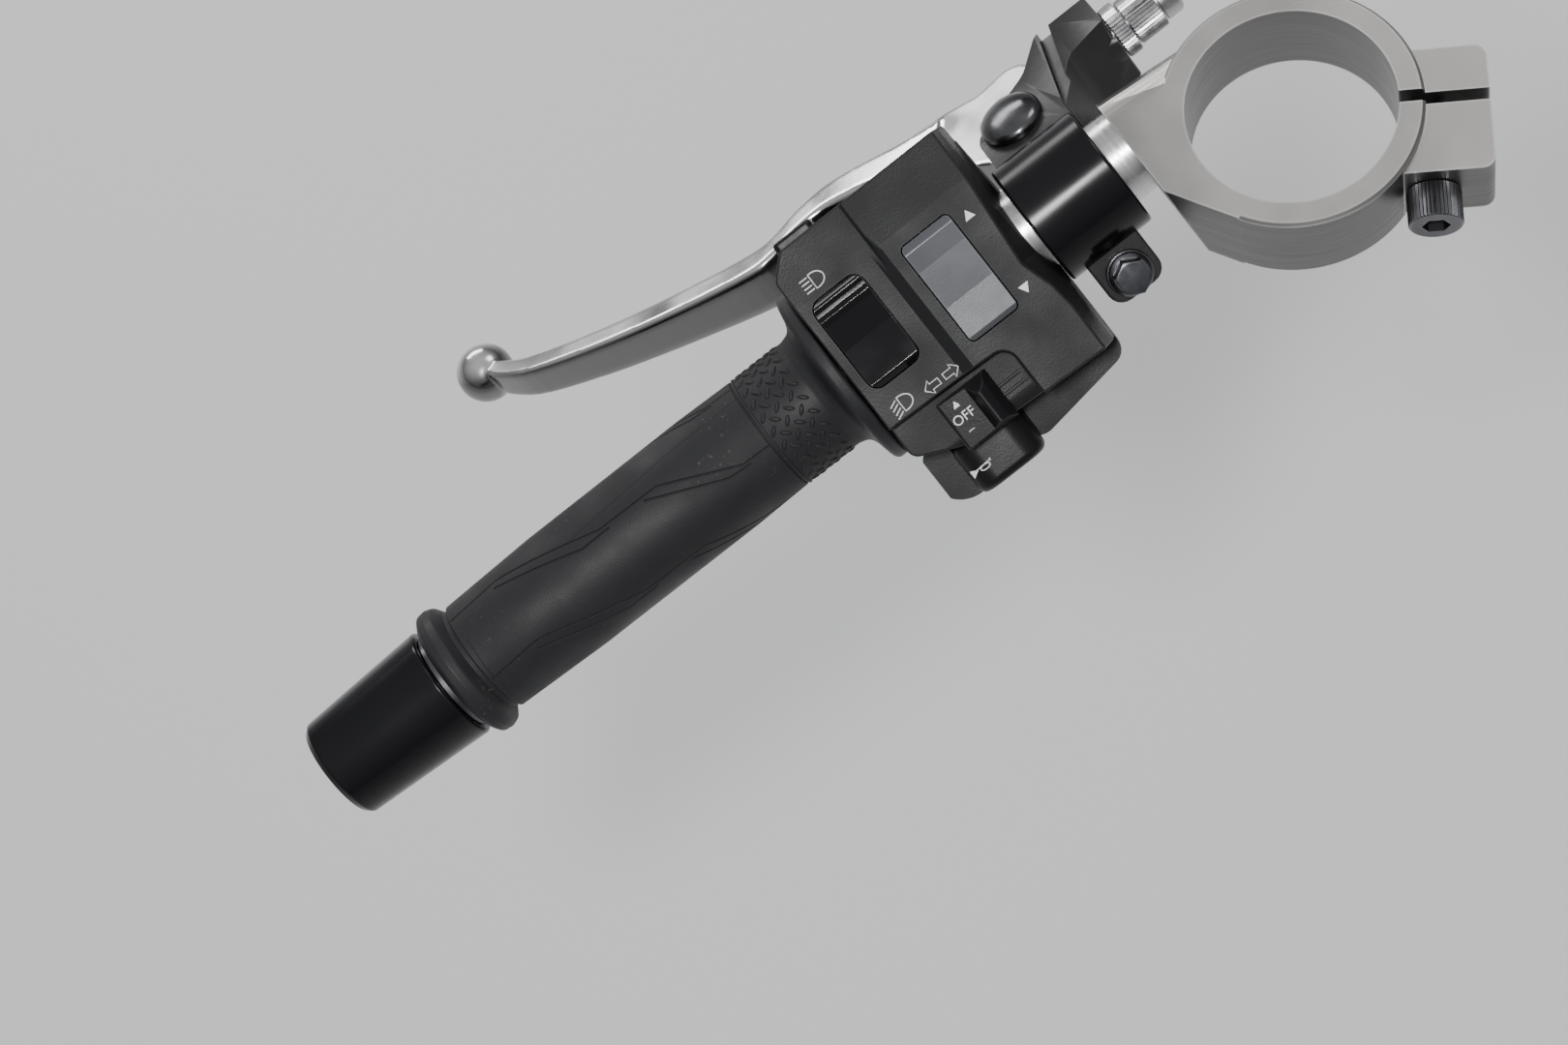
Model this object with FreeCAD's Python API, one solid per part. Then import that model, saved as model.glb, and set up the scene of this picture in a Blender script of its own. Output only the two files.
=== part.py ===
import FreeCAD, Part
import math
import os

# Left clip-on handlebar of a sport motorcycle, in millimetres.
# Row frame: origin at the centre of the fork clamp's bore, +Z up along the fork tube,
# +Y forwards, and the bar runs outwards along -X with a droop.
# Pieces on the bar are drawn in the bar's own frame. There a station is the distance out
# along the bar from the fork's plane, a reach is the distance in front of the bar's axis,
# and a height is measured from that axis. The switch housing's frame is rolled back
# towards the rider, and the lever's frame is rolled forwards and down.

V = FreeCAD.Vector
os.makedirs("parts", exist_ok=True)

# Fork clamp
fork_bore_r = 25.0
clamp_wall = 6.1
clamp_height = 25.4
clamp_edge = 0.8

# Bar tube: where its axis lies in the row frame, and its section
bar_offset = 19.1
bar_level = 6.7
bar_droop = 11.16
bar_r = 11.1
bar_wall = 2.6
bar_wall_to_bore = 2.4
sleeve_gap = 0.05

# Socket block that holds the bar
socket_face = 37.6
socket_half_width = 18.4
socket_step_width = 7.5
socket_step_drop = 3.2
web_angle = 212.0

# Split lugs and the M8 pinch bolt
lug_angle = -32.0
lug_tip = 46.0
lug_head_side = 19.0
lug_thread_side = 13.0
lug_height = 21.0
slit_width = 3.0
pinch_reach = 31.5
pinch_bolt_r = 4.0
pinch_head_r = 6.5
pinch_head_height = 9.0
pinch_hex = 6.0
pinch_hex_depth = 4.5
knurl_sides = 24

# Clutch lever's perch
perch_gap = 2.6
perch_width = 23.8
perch_r = 16.3
lever_roll = -30.0
pivot_from_face = 12.1
pivot_reach = 25.2
pivot_r = 4.0
pivot_fit = 0.05
pivot_head_r = 8.2
pivot_head_height = 4.4
pivot_nut_across = 12.0
pivot_nut_height = 6.0
lever_root_half = 5.0
cheek_gap = 0.3
cheek_wall = 4.7
perch_bolt_roll = 40.0
perch_bolt_reach = 21.6
perch_bolt_r = 3.0
perch_bolt_hex = 8.0
perch_bolt_head = 5.0
perch_washer_r = 5.8
perch_washer_height = 1.4
perch_lug_half = 7.5
perch_slit = 2.0
seat_gap = 0.05

# Cable adjuster in the perch's arm
adjuster_reach = 42.5
adjuster_face = 20.0
adjuster_r = 6.4
adjuster_length = 14.0
adjuster_thread_r = 4.0
adjuster_boss_r = 7.6
adjuster_groove = 0.7
lock_ring_r = 7.2
lock_ring_height = 4.0
cable_hole_r = 2.6

# Clutch lever: tip ball, hub at the pivot and the arm that pulls the cable
ball_out = 149.6
ball_forward = 74.8
ball_r = 7.8
hub_r = 8.3
cable_arm = 20.0

# Switch housing
pod_gap = 0.4
pod_width = 55.1
pod_roll = 25.0
pod_front = 32.5
pod_upper_rear = 33.0
pod_lower_rear = 41.5
pod_outer_rear = 25.5
pod_top = 22.0
pod_bottom = 17.0
pod_corner = 3.0
pod_level_width = 30.1
pod_level_drop = 1.6
pod_brow_reach = 19.0
pod_brow_drop = 3.4
pod_front_inset = 1.4
pod_lean_reach = -5.0
shell_split = 0.1

# Controls on the housing
control_gap = 0.4
rocker_depth = 5.0
rocker_corner = 1.2
select_from_inner = 19.85
select_reach = 1.4
select_width = 13.9
select_length = 27.6
dimmer_from_outer = 10.15
dimmer_reach = 5.1
dimmer_width = 14.2
dimmer_length = 25.2
tray_reach = -17.8
tray_width = 34.2
tray_depth = 4.0
tray_corner = 4.0
slider_from_outer = 18.5
slider_width = 12.6
slider_length = 13.6
slider_rise = 3.2
slider_ridge = 4.6
horn_from_outer = 16.9
horn_width = 19.5
horn_height = 15.0
horn_tip = 43.5
horn_depth = 13.6
horn_level = 3.5
boss_from_outer = 7.1
boss_reach = -34.0
boss_r = 9.0
trigger_from_outer = 10.0
trigger_width = 11.0
trigger_tip = 37.0
trigger_low = 5.0
trigger_high = 15.0

# Grip
grip_gap = 0.4
grip_length = 121.6
grip_r = 15.9
grip_end_r = 15.0
grip_disc_r = 24.2
grip_disc = 3.4
grip_neck_r = 16.2
neck_length = 5.6
band_length = 15.2
band_rise = 0.7
flange_r = 17.7
flange_width = 7.2
flange_groove = 0.7

# Bar end
spacer_width = 1.9
spacer_r = 13.2
weight_length = 36.2
weight_inner_r = 15.2
weight_outer_r = 13.4
end_screw_r = 3.0
end_screw_head_r = 5.5
end_screw_head = 5.2
end_screw_hex = 5.0

# Stations that follow from the sizes above
perch_inner = socket_face + perch_gap
perch_outer = perch_inner + perch_width
pivot_station = perch_inner + pivot_from_face
pod_inner = perch_outer + pod_gap
pod_outer = pod_inner + pod_width
select_station = pod_inner + select_from_inner
dimmer_station = pod_outer - dimmer_from_outer
slider_station = pod_outer - slider_from_outer
horn_station = pod_outer - horn_from_outer
boss_station = pod_outer - boss_from_outer
trigger_station = pod_outer - trigger_from_outer
grip_inner = pod_outer + grip_gap
grip_outer = grip_inner + grip_length
bar_outer_end = grip_outer
weight_inner = grip_outer + spacer_width
weight_outer = weight_inner + weight_length
cheek_top = lever_root_half + cheek_gap + cheek_wall
above = pod_top + 9
past_pod = pod_lower_rear + 40
bore_in_sleeve = bar_r + sleeve_gap


def onto_bar(shape, roll=0.0):
    """Take a shape from the bar's frame, rolled about the bar, to the row frame."""
    shape.rotate(V(0, 0, 0), V(1, 0, 0), roll)
    shape.rotate(V(0, 0, 0), V(0, 1, 0), -bar_droop)
    shape.translate(V(0, bar_offset, bar_level))
    return shape


def rounded_wire(corners):
    """A closed flat wire through (x, y, z, radius) corners, each rounded by its radius."""
    points = [V(*c[:3]) for c in corners]
    count = len(points)
    entries, exits, middles = [], [], []
    for k, here in enumerate(points):
        back = points[k - 1] - here
        ahead = points[(k + 1) % count] - here
        radius = corners[k][3]
        if radius <= 0:
            entries.append(here)
            exits.append(here)
            middles.append(None)
            continue
        turn = back.getAngle(ahead)
        back.normalize()
        ahead.normalize()
        reach = radius / math.tan(turn / 2)
        bisector = (back + ahead).normalize()
        entries.append(here + back * reach)
        exits.append(here + ahead * reach)
        middles.append(here + bisector * (radius / math.sin(turn / 2) - radius))
    edges = []
    for k in range(count):
        if middles[k] is not None:
            edges.append(Part.Arc(entries[k], middles[k], exits[k]).toShape())
        following = entries[(k + 1) % count]
        if exits[k].distanceToPoint(following) > 1e-6:
            edges.append(Part.LineSegment(exits[k], following).toShape())
    return Part.Wire(edges)


def plan_prism(outline, low, high):
    """A prism between two heights from (station, reach, corner radius) rows."""
    wire = rounded_wire([(-row[0], row[1], low, row[2] if len(row) > 2 else 0) for row in outline])
    return Part.Face(wire).extrude(V(0, 0, high - low))


def side_prism(outline, low, high):
    """A prism across the bar, between two reaches, from (station, height, radius) rows."""
    wire = rounded_wire([(-row[0], low, row[1], row[2] if len(row) > 2 else 0) for row in outline])
    return Part.Face(wire).extrude(V(0, high - low, 0))


def end_prism(outline, inner, outer):
    """A prism along the bar, between two stations, from (reach, height, radius) rows."""
    wire = rounded_wire([(-inner, row[0], row[1], row[2] if len(row) > 2 else 0) for row in outline])
    return Part.Face(wire).extrude(V(inner - outer, 0, 0))


def turned(profile):
    """A piece turned about the bar's axis, from (station, radius, corner radius) rows."""
    wire = rounded_wire([(-row[0], 0, row[1], row[2] if len(row) > 2 else 0) for row in profile])
    return Part.Face(wire).revolve(V(0, 0, 0), V(1, 0, 0), 360)


def sleeve(radius, inner, outer, reach=0.0):
    """A plain cylinder along the bar between two stations."""
    return Part.makeCylinder(radius, outer - inner, V(-outer, reach, 0), V(1, 0, 0))


def upright(radius, low, high, station, reach):
    """A plain cylinder across the bar's plane, between two heights."""
    return Part.makeCylinder(radius, high - low, V(-station, reach, low))


def rectangle(station, reach, width, length, radius=0.0):
    """Rows of an outline of a rectangle round a centre."""
    a, b = width / 2, length / 2
    return [(station - a, reach - b, radius), (station - a, reach + b, radius),
            (station + a, reach + b, radius), (station + a, reach - b, radius)]


def many_sided(sides, across, height, base, axis):
    """A prism with equal flat sides, such as a knurl's, that grows from a base along an axis."""
    r = across / 2 / math.cos(math.pi / sides)
    turns = [2 * math.pi * k / sides for k in range(sides)]
    wire = rounded_wire([(r * math.cos(t), r * math.sin(t), 0, 0) for t in turns])
    prism = Part.Face(wire).extrude(V(0, 0, height))
    prism.Placement = FreeCAD.Placement(base, FreeCAD.Rotation(V(0, 0, 1), axis))
    return prism


def hexagon(across, height, base, axis):
    return many_sided(6, across, height, base, axis)


def bevel_edges(shape, size, wanted):
    """Chamfer the edges whose middle passes a test."""
    return shape.makeChamfer(size, [e for e in shape.Edges if wanted(e.CenterOfMass, e)])


def save(name, shape):
    shape = shape.removeSplitter()
    solids = shape.Solids
    shape = solids[0] if len(solids) == 1 else Part.makeCompound(solids)
    print(name, len(solids), round(shape.Volume / 1000, 2), "cm3", shape.isValid())
    shape.exportStep("parts/" + name + ".step")


# The lugs point away from the fork at their own angle, and the pinch bolt crosses them
def lug_along():
    a = math.radians(lug_angle)
    return V(math.cos(a), math.sin(a), 0)


def lug_across():
    a = math.radians(lug_angle)
    return V(math.sin(a), -math.cos(a), 0)


def pinch_centre():
    return lug_along() * pinch_reach


def lug_block(start, end, near, past, height, radius):
    """A block along the lugs, between two distances out and two offsets across the slit."""
    rows = [(start, near, 0), (end, near, radius), (end, past, radius), (start, past, 0)]
    corners = [lug_along() * out + lug_across() * off for out, off, _ in rows]
    wire = rounded_wire([(c.x, c.y, -height / 2, row[2]) for c, row in zip(corners, rows)])
    return Part.Face(wire).extrude(V(0, 0, height))


def bar_inner_end():
    """Station where the bar stops, so that a wall is left round the fork's bore."""
    nearest = bar_offset - bar_r
    inside = math.sqrt(max((fork_bore_r + bar_wall_to_bore) ** 2 - nearest ** 2, 1.0))
    return inside / math.cos(math.radians(bar_droop)) + 0.6


def fork_clamp():
    """Ring round the fork tube, with the bar's socket block in front and split lugs behind."""
    half = clamp_height / 2
    ring_r = fork_bore_r + clamp_wall
    front = bar_offset + socket_half_width
    rear = bar_offset - socket_half_width
    far = -socket_face - 15.0
    web = math.radians(web_angle)
    # x, y, corner radius, seen from above
    outline = [(far, rear, 0), (far, front, 0), (4.0, front, 10.0),
               (ring_r * 0.8, ring_r * 0.62, 0), (0, 0, 0),
               (ring_r * math.cos(web), ring_r * math.sin(web), 0), (-socket_face + 1.0, rear - 0.4, 1.0)]
    wire = rounded_wire([(x, y, -half, r) for x, y, r in outline])
    block = Part.Face(wire).extrude(V(0, 0, clamp_height))
    past, inside = front + 1, front - socket_step_width
    # y and z round the bevelled step along the block's front
    step = [(past, half + 1), (past, half - socket_step_drop), (inside, half - 0.9), (inside, half + 1)]
    step_wire = rounded_wire([(far - 1, y, z, 0) for y, z in step])
    block = block.cut(Part.Face(step_wire).extrude(V(100, 0, 0)))
    block = block.cut(onto_bar(Part.makeBox(40, 140, 140, V(-socket_face - 40, -70, -70))))
    ring = Part.makeCylinder(ring_r, clamp_height, V(0, 0, -half))
    ring = bevel_edges(ring, clamp_edge, lambda m, e: isinstance(e.Curve, Part.Circle))
    clamp = ring.fuse(block)
    clamp = clamp.fuse(lug_block(18.0, lug_tip, -lug_thread_side, lug_head_side, lug_height, 3.0))
    clamp = clamp.cut(Part.makeCylinder(fork_bore_r, clamp_height + 2, V(0, 0, -half - 1)))
    clamp = clamp.cut(lug_block(10.0, lug_tip + 2, -slit_width / 2, slit_width / 2, clamp_height + 2, 0))
    hole_length = lug_head_side + lug_thread_side + 2
    hole_start = pinch_centre() - lug_across() * (lug_thread_side + 1)
    clamp = clamp.cut(Part.makeCylinder(pinch_bolt_r + sleeve_gap, hole_length, hole_start, lug_across()))
    clamp = clamp.cut(onto_bar(sleeve(bore_in_sleeve, bar_inner_end() - sleeve_gap, socket_face + 20)))
    return clamp


def pinch_bolt():
    """M8 socket bolt across the clamp's lugs."""
    base = pinch_centre() + lug_across() * (lug_head_side + seat_gap)
    shank_length = lug_head_side + lug_thread_side
    start = pinch_centre() - lug_across() * (lug_thread_side - seat_gap)
    bolt = many_sided(knurl_sides, 2 * pinch_head_r, pinch_head_height, base, lug_across())
    bolt = bolt.fuse(Part.makeCylinder(pinch_bolt_r, shank_length, start, lug_across()))
    hex_base = base + lug_across() * (pinch_head_height - pinch_hex_depth)
    return bolt.cut(hexagon(pinch_hex, pinch_hex_depth + 1, hex_base, lug_across()))


def bar_tube():
    tube = sleeve(bar_r, bar_inner_end(), bar_outer_end)
    return onto_bar(tube.cut(sleeve(bar_r - bar_wall, 0, bar_outer_end + 1)))


def turn_in_perch(shape):
    """Turn a shape from the perch bolt's roll to the lever's roll, about the bar."""
    shape.rotate(V(0, 0, 0), V(1, 0, 0), perch_bolt_roll - lever_roll)
    return shape


def perch_lugs(width, length):
    """The perch's two rear lugs, as one block with rounded corners."""
    a, tip = width / 2, perch_bolt_reach + length / 2
    rows = [(pivot_station - a, -bar_r, 0), (pivot_station - a, -tip, 4.0),
            (pivot_station + a, -tip, 4.0), (pivot_station + a, -bar_r, 0)]
    return turn_in_perch(plan_prism(rows, -perch_lug_half, perch_lug_half))


def lever_perch():
    """Split ring round the bar, two cheeks for the lever and the arm for the cable."""
    slot_half = lever_root_half + cheek_gap
    side = perch_outer - 1.7
    # station, reach, corner radius
    bracket = [(side, 0, 0), (side, pivot_reach + 3.2, 7.0), (pivot_station - 9.0, pivot_reach + 13.5, 9.0),
               (pivot_station - 17.0, adjuster_reach + 6.4, 3.0), (adjuster_face, adjuster_reach + 6.4, 0),
               (adjuster_face, adjuster_reach - 6.4, 0), (adjuster_face + 11.5, pivot_reach + 8.0, 6.0),
               (perch_inner, perch_r + 4.0, 0), (perch_inner, 0, 0)]
    body = plan_prism(bracket, -cheek_top, cheek_top)
    body = bevel_edges(body, 0.8, lambda m, e: abs(abs(m.z) - cheek_top) < 0.01 and m.y > 1)
    body = body.fuse(sleeve(perch_r, perch_inner, perch_outer))
    body = body.fuse(sleeve(adjuster_boss_r, adjuster_face, adjuster_face + 9.0, adjuster_reach))
    slot = [(perch_inner - 0.6, perch_r + 0.2), (perch_outer + 8, perch_r + 0.2),
            (perch_outer + 8, adjuster_reach + 30), (perch_inner - 0.6, adjuster_reach + 30)]
    body = body.cut(plan_prism(slot, -slot_half, slot_half))
    # slit for the cable's wire, from the front edge to the ring
    slit = [(pivot_station - 22.5, adjuster_reach + 12), (pivot_station - 18.9, adjuster_reach + 12),
            (pivot_station - 12.2, perch_r + 2.4), (pivot_station - 15.2, perch_r + 2.4)]
    body = body.cut(plan_prism(slit, cheek_top - 2.6, cheek_top + 1))
    body = body.fuse(perch_lugs(15.0, 12.0))
    split = [(perch_inner - 1, 0), (perch_outer + 1, 0), (perch_outer + 1, -2 * perch_bolt_reach),
             (perch_inner - 1, -2 * perch_bolt_reach)]
    body = body.cut(turn_in_perch(plan_prism(split, -perch_slit / 2, perch_slit / 2)))
    bolt_hole = upright(perch_bolt_r + pivot_fit, -20, 20, pivot_station, -perch_bolt_reach)
    body = body.cut(turn_in_perch(bolt_hole))
    body = body.cut(sleeve(bore_in_sleeve, perch_inner - 1, perch_outer + 1))
    body = body.cut(upright(pivot_r + pivot_fit, -20, 20, pivot_station, pivot_reach))
    thread = adjuster_thread_r + pivot_fit
    body = body.cut(sleeve(thread, adjuster_face - 1, adjuster_face + 6.5, adjuster_reach))
    body = body.cut(sleeve(cable_hole_r, adjuster_face, adjuster_face + 25, adjuster_reach))
    return onto_bar(body, lever_roll)


def perch_washer():
    low = perch_lug_half + seat_gap
    ring = upright(perch_washer_r, low, low + perch_washer_height, pivot_station, -perch_bolt_reach)
    hole = upright(perch_bolt_r + 0.1, low - 1, low + 5, pivot_station, -perch_bolt_reach)
    return onto_bar(ring.cut(hole), perch_bolt_roll)


def perch_bolt():
    base = perch_lug_half + 2 * seat_gap + perch_washer_height
    bolt = hexagon(perch_bolt_hex, perch_bolt_head, V(-pivot_station, -perch_bolt_reach, base), V(0, 0, 1))
    shank = upright(perch_bolt_r, -perch_lug_half - 1.0, base + 1, pivot_station, -perch_bolt_reach)
    return onto_bar(bolt.fuse(shank), perch_bolt_roll)


def turned_upright(profile, station, reach):
    """A piece turned about an upright axis, from (radius, height, corner radius) rows."""
    wire = rounded_wire([(row[0], 0, row[1], row[2] if len(row) > 2 else 0) for row in profile])
    solid = Part.Face(wire).revolve(V(0, 0, 0), V(0, 0, 1), 360)
    solid.translate(V(-station, reach, 0))
    return solid


def lever_pivot_bolt():
    """Shouldered bolt through the lever, with a low domed head."""
    low = cheek_top + seat_gap
    top = low + pivot_head_height
    end = -cheek_top - pivot_nut_height - 1.2
    rows = [(0, end), (pivot_r, end), (pivot_r, low), (pivot_head_r, low),
            (pivot_head_r, low + 1.4), (pivot_head_r * 0.6, top), (0, top)]
    return onto_bar(turned_upright(rows, pivot_station, pivot_reach), lever_roll)


def lever_pivot_nut():
    low = -cheek_top - seat_gap - pivot_nut_height
    nut = hexagon(pivot_nut_across, pivot_nut_height, V(-pivot_station, pivot_reach, low), V(0, 0, 1))
    hole = upright(pivot_r + sleeve_gap, low - 1, 0, pivot_station, pivot_reach)
    return onto_bar(nut.cut(hole), lever_roll)


# The lever blade's sections: share of the way from the pivot to the ball, offset in front
# of that line, thickness, half height and corner radius
blade_sections = [
    (0.150, 12.6, 14.0, 5.6, 2.2),
    (0.215, 9.4, 12.0, 6.6, 2.0),
    (0.290, 7.4, 10.6, 7.2, 1.8),
    (0.345, 5.2, 9.6, 7.3, 1.8),
    (0.394, 0.0, 9.0, 7.3, 2.0),
    (0.426, -5.0, 8.8, 7.2, 2.2),
    (0.470, -8.2, 8.6, 7.0, 2.4),
    (0.600, -10.2, 8.0, 6.2, 2.8),
    (0.741, -10.9, 7.2, 5.6, 3.0),
    (0.880, -9.4, 6.6, 5.0, 2.9),
    (0.945, -6.0, 6.2, 4.6, 2.8),
    (0.985, -2.0, 6.0, 4.4, 2.7),
]


def blade_section(row):
    """One upright section of the blade, square to the line from the pivot to the ball."""
    share, offset, thickness, half, radius = row
    length = math.hypot(ball_out, ball_forward)
    out, ahead = ball_out / length, ball_forward / length
    side, slope = thickness / 2, 0.6 * radius
    outline = [(-side + slope, -half), (side - slope, -half), (side, -half + slope), (side, half - slope),
               (side - slope, half), (-side + slope, half), (-side, half - slope), (-side, -half + slope)]
    corners = []
    for across, height in outline:
        station = pivot_station + share * ball_out - (offset + across) * ahead
        reach = pivot_reach + share * ball_forward + (offset + across) * out
        corners.append((-station, reach, height, 0))
    return rounded_wire(corners)


def clutch_lever():
    """Forged lever: hub and cable arm between the cheeks, curved blade and ball tip."""
    blade = Part.makeLoft([blade_section(row) for row in blade_sections], True, False)
    # distance out from the pivot, distance in front of it, corner radius
    root = [(-11.2, cable_arm - 7.0, 3.0), (-11.2, cable_arm + 5.6, 4.0), (-6.0, cable_arm + 7.6, 4.0),
            (3.0, cable_arm + 6.2, 6.0), (12.0, cable_arm + 9.0, 0), (22.0, cable_arm + 10.4, 0),
            (26.0, cable_arm - 3.0, 0), (13.0, 2.0, 8.0), (4.0, 0.8 - hub_r, 0), (-4.0, 0.8 - hub_r, 0),
            (0.4 - hub_r, 0, 4.0)]
    root = [(pivot_station + out, pivot_reach + ahead, radius) for out, ahead, radius in root]
    lever = plan_prism(root, -lever_root_half, lever_root_half)
    lever = lever.fuse(upright(hub_r, -lever_root_half, lever_root_half, pivot_station, pivot_reach))
    lever = lever.fuse(blade)
    ball = Part.makeSphere(ball_r, V(-pivot_station - ball_out, pivot_reach + ball_forward, 0))
    lever = lever.fuse(ball)
    return onto_bar(lever.cut(upright(pivot_r + pivot_fit, -20, 20, pivot_station, pivot_reach)), lever_roll)


def cable_adjuster():
    """Stem, knurled collar and nose, drilled for the clutch cable."""
    barrel_outer = adjuster_face - lock_ring_height - 0.6
    barrel_inner = barrel_outer - adjuster_length
    collar_inner = barrel_outer - 0.6 * adjuster_length
    base = V(-barrel_outer, adjuster_reach, 0)
    collar = many_sided(knurl_sides, 2 * adjuster_r, barrel_outer - collar_inner, base, V(1, 0, 0))
    nose = sleeve(adjuster_r - adjuster_groove, barrel_inner, collar_inner, adjuster_reach)
    stem = sleeve(adjuster_thread_r, barrel_outer - 1.0, adjuster_face + 6.0, adjuster_reach)
    hole = sleeve(cable_hole_r, barrel_inner - 1.0, adjuster_face + 7.0, adjuster_reach)
    return onto_bar(collar.fuse(nose).fuse(stem).cut(hole), lever_roll)


def adjuster_lock_ring():
    outer = adjuster_face - 0.3
    base = V(-outer, adjuster_reach, 0)
    ring = many_sided(knurl_sides, 2 * lock_ring_r, lock_ring_height, base, V(1, 0, 0))
    hole = sleeve(adjuster_thread_r + sleeve_gap, 0, outer + 1, adjuster_reach)
    return onto_bar(ring.cut(hole), lever_roll)


# The switch housing's shells
def level_station():
    return pod_inner + pod_level_width


def level_top():
    return pod_top - pod_level_drop


def shell_outline(rear):
    """Station, reach and corner radius round a shell, whose rear side has its own rows."""
    inner = [(pod_inner + pod_front_inset, pod_front, 1.0), (pod_inner, pod_lean_reach, 0)]
    outer = [(pod_outer, -pod_outer_rear, pod_corner), (pod_outer, pod_front - 5.5, pod_corner),
             (pod_outer - 5.5, pod_front, pod_corner)]
    return inner + rear + outer


def upper_outline():
    return shell_outline([(pod_inner, -pod_upper_rear, 2.0), (pod_outer - 13.0, 1.5 - pod_upper_rear, 6.0)])


def lower_outline():
    """The lower shell bulges further to the rear."""
    return shell_outline([(pod_inner, 4.0 - pod_lower_rear, 4.0), (pod_outer - 28.0, -pod_lower_rear, 5.0),
                          (pod_outer - 11.0, -pod_upper_rear, 6.0)])


def lean_section(reach, foot, middle, top):
    """Outline across the shell of what the leaning inner wall takes away at one reach."""
    beyond = top + (top - middle) * (above - pod_top) / (pod_top / 2)
    rows = [(foot, 0), (middle, pod_top / 2), (top, pod_top), (beyond, above), (-8.0, above), (-8.0, 0)]
    return rounded_wire([(-pod_inner - row[0], reach, row[1], 0) for row in rows])


def lean_cuts():
    """The upper shell's inner wall leans outwards, most beside the bar and less at its ends."""
    ahead = pod_front + 4.0
    front_foot = pod_front_inset * (ahead - pod_lean_reach) / (pod_front - pod_lean_reach)
    # reach, then how far outboard of the housing's inner side the wall's foot, middle and top lie
    rows = [(ahead, front_foot, 2.7, 4.4), (pod_lean_reach, 0, 2.3, 6.3),
            (pod_lean_reach - 15.0, 0, 0.5, 3.0), (-past_pod, 0, 0.5, 3.0)]
    wires = [lean_section(*row) for row in rows]
    return [Part.makeLoft([near, far], True, True) for near, far in zip(wires, wires[1:])]


def rocker_pocket(station, reach, width, length, floor):
    more = 2 * control_gap
    rows = rectangle(station, reach, width + more, length + more, rocker_corner + control_gap)
    return plan_prism(rows, floor, above)


def switch_housing_upper():
    """Upper shell: two levels, a brow, a leaning inner wall, pockets and the slider's tray."""
    shell = plan_prism(upper_outline(), shell_split / 2, pod_top)
    # station and height of what is cut away above the outer level
    step = [(level_station(), pod_top), (level_station() + pod_level_drop, level_top()),
            (pod_outer + 5, level_top()), (pod_outer + 5, above), (level_station(), above)]
    shell = shell.cut(side_prism(step, -past_pod, past_pod))
    brow_end = pod_front + 5
    for top, drop, inner, outer in ((pod_top, pod_brow_drop, pod_inner - 20, level_station()),
                                    (level_top(), pod_brow_drop - 1.0, level_station(), pod_outer + 5)):
        # reach and height of what is cut away over the brow
        brow = [(pod_brow_reach, top + 0.01), (brow_end, top - drop), (brow_end, above),
                (pod_brow_reach, above)]
        shell = shell.cut(end_prism(brow, inner, outer))
    for lean in lean_cuts():
        shell = shell.cut(lean)
    tray_start = pod_outer - tray_width
    tray = [(tray_start, tray_reach, tray_corner), (tray_start, -past_pod, 0),
            (pod_outer + 9, -past_pod, 0), (pod_outer + 9, tray_reach + 1.2, 0)]
    tray_floor = level_top() - tray_depth
    shell = shell.cut(plan_prism(tray, tray_floor, above))
    lip = 4.5 - pod_upper_rear
    apron = [(lip, tray_floor), (lip - 52, tray_floor - 26), (lip - 52, above), (lip, above)]
    shell = shell.cut(end_prism(apron, tray_start, pod_outer + 9))
    select_floor = pod_top - rocker_depth
    dimmer_floor = level_top() - rocker_depth
    shell = shell.cut(rocker_pocket(select_station, select_reach, select_width, select_length, select_floor))
    shell = shell.cut(rocker_pocket(dimmer_station, dimmer_reach, dimmer_width, dimmer_length, dimmer_floor))
    shell = shell.cut(sleeve(bore_in_sleeve, pod_inner - 20, pod_outer + 5))
    shell = shell.cut(horn_prism(control_gap))
    return onto_bar(shell.cut(trigger_prism(control_gap)), pod_roll)


def lower_section():
    """Reach, height and corner radius of the lower shell, seen along the bar."""
    top = -shell_split / 2
    return [(-pod_lower_rear - 3, top, 0), (-pod_lower_rear + 3, -9.0, 5.0), (-24.0, -pod_bottom, 6.0),
            (2.0, -pod_bottom, 3.0), (9.5, -14.5, 3.0), (27.4, -1.4, 1.0), (27.4, top, 0)]


def switch_housing_lower():
    """Lower shell: a rounded belly, the rear bulge and the horn's boss."""
    belly = end_prism(lower_section(), pod_inner - 10, pod_outer + 1)
    shell = plan_prism(lower_outline(), -pod_bottom - 1, -shell_split / 2).common(belly)
    boss = upright(boss_r, -13.0, -shell_split / 2, boss_station, boss_reach)
    shell = shell.fuse(bevel_edges(boss, 2.0, lambda m, e: m.z < -12.9))
    shell = shell.cut(sleeve(bore_in_sleeve, pod_inner - 20, pod_outer + 20))
    trim = plan_prism([(pod_outer, -past_pod), (pod_outer, past_pod), (pod_outer + boss_r, past_pod),
                       (pod_outer + boss_r, -past_pod)], -above, above)
    shell = shell.cut(trim)
    return onto_bar(shell.cut(horn_prism(control_gap)), pod_roll)


def select_rocker():
    """Grey rocker with three facets on its face."""
    front = select_reach + select_length / 2
    rear = select_reach - select_length / 2
    low = pod_top - rocker_depth + seat_gap
    rows = [(front, low), (front, pod_top + 0.4, 0.3), (front - 1.8, pod_top + 1.9, 0.5),
            (front - 7.2, pod_top + 1.3), (rear + 10.0, pod_top + 0.7), (rear + 1.2, pod_top + 2.0, 0.5),
            (rear, pod_top + 0.8, 0.3), (rear, low)]
    inner = select_station - select_width / 2
    body = end_prism(rows, inner, inner + select_width)
    plan = rectangle(select_station, select_reach, select_width, select_length, rocker_corner)
    return onto_bar(body.common(plan_prism(plan, 0, above)), pod_roll)


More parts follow.
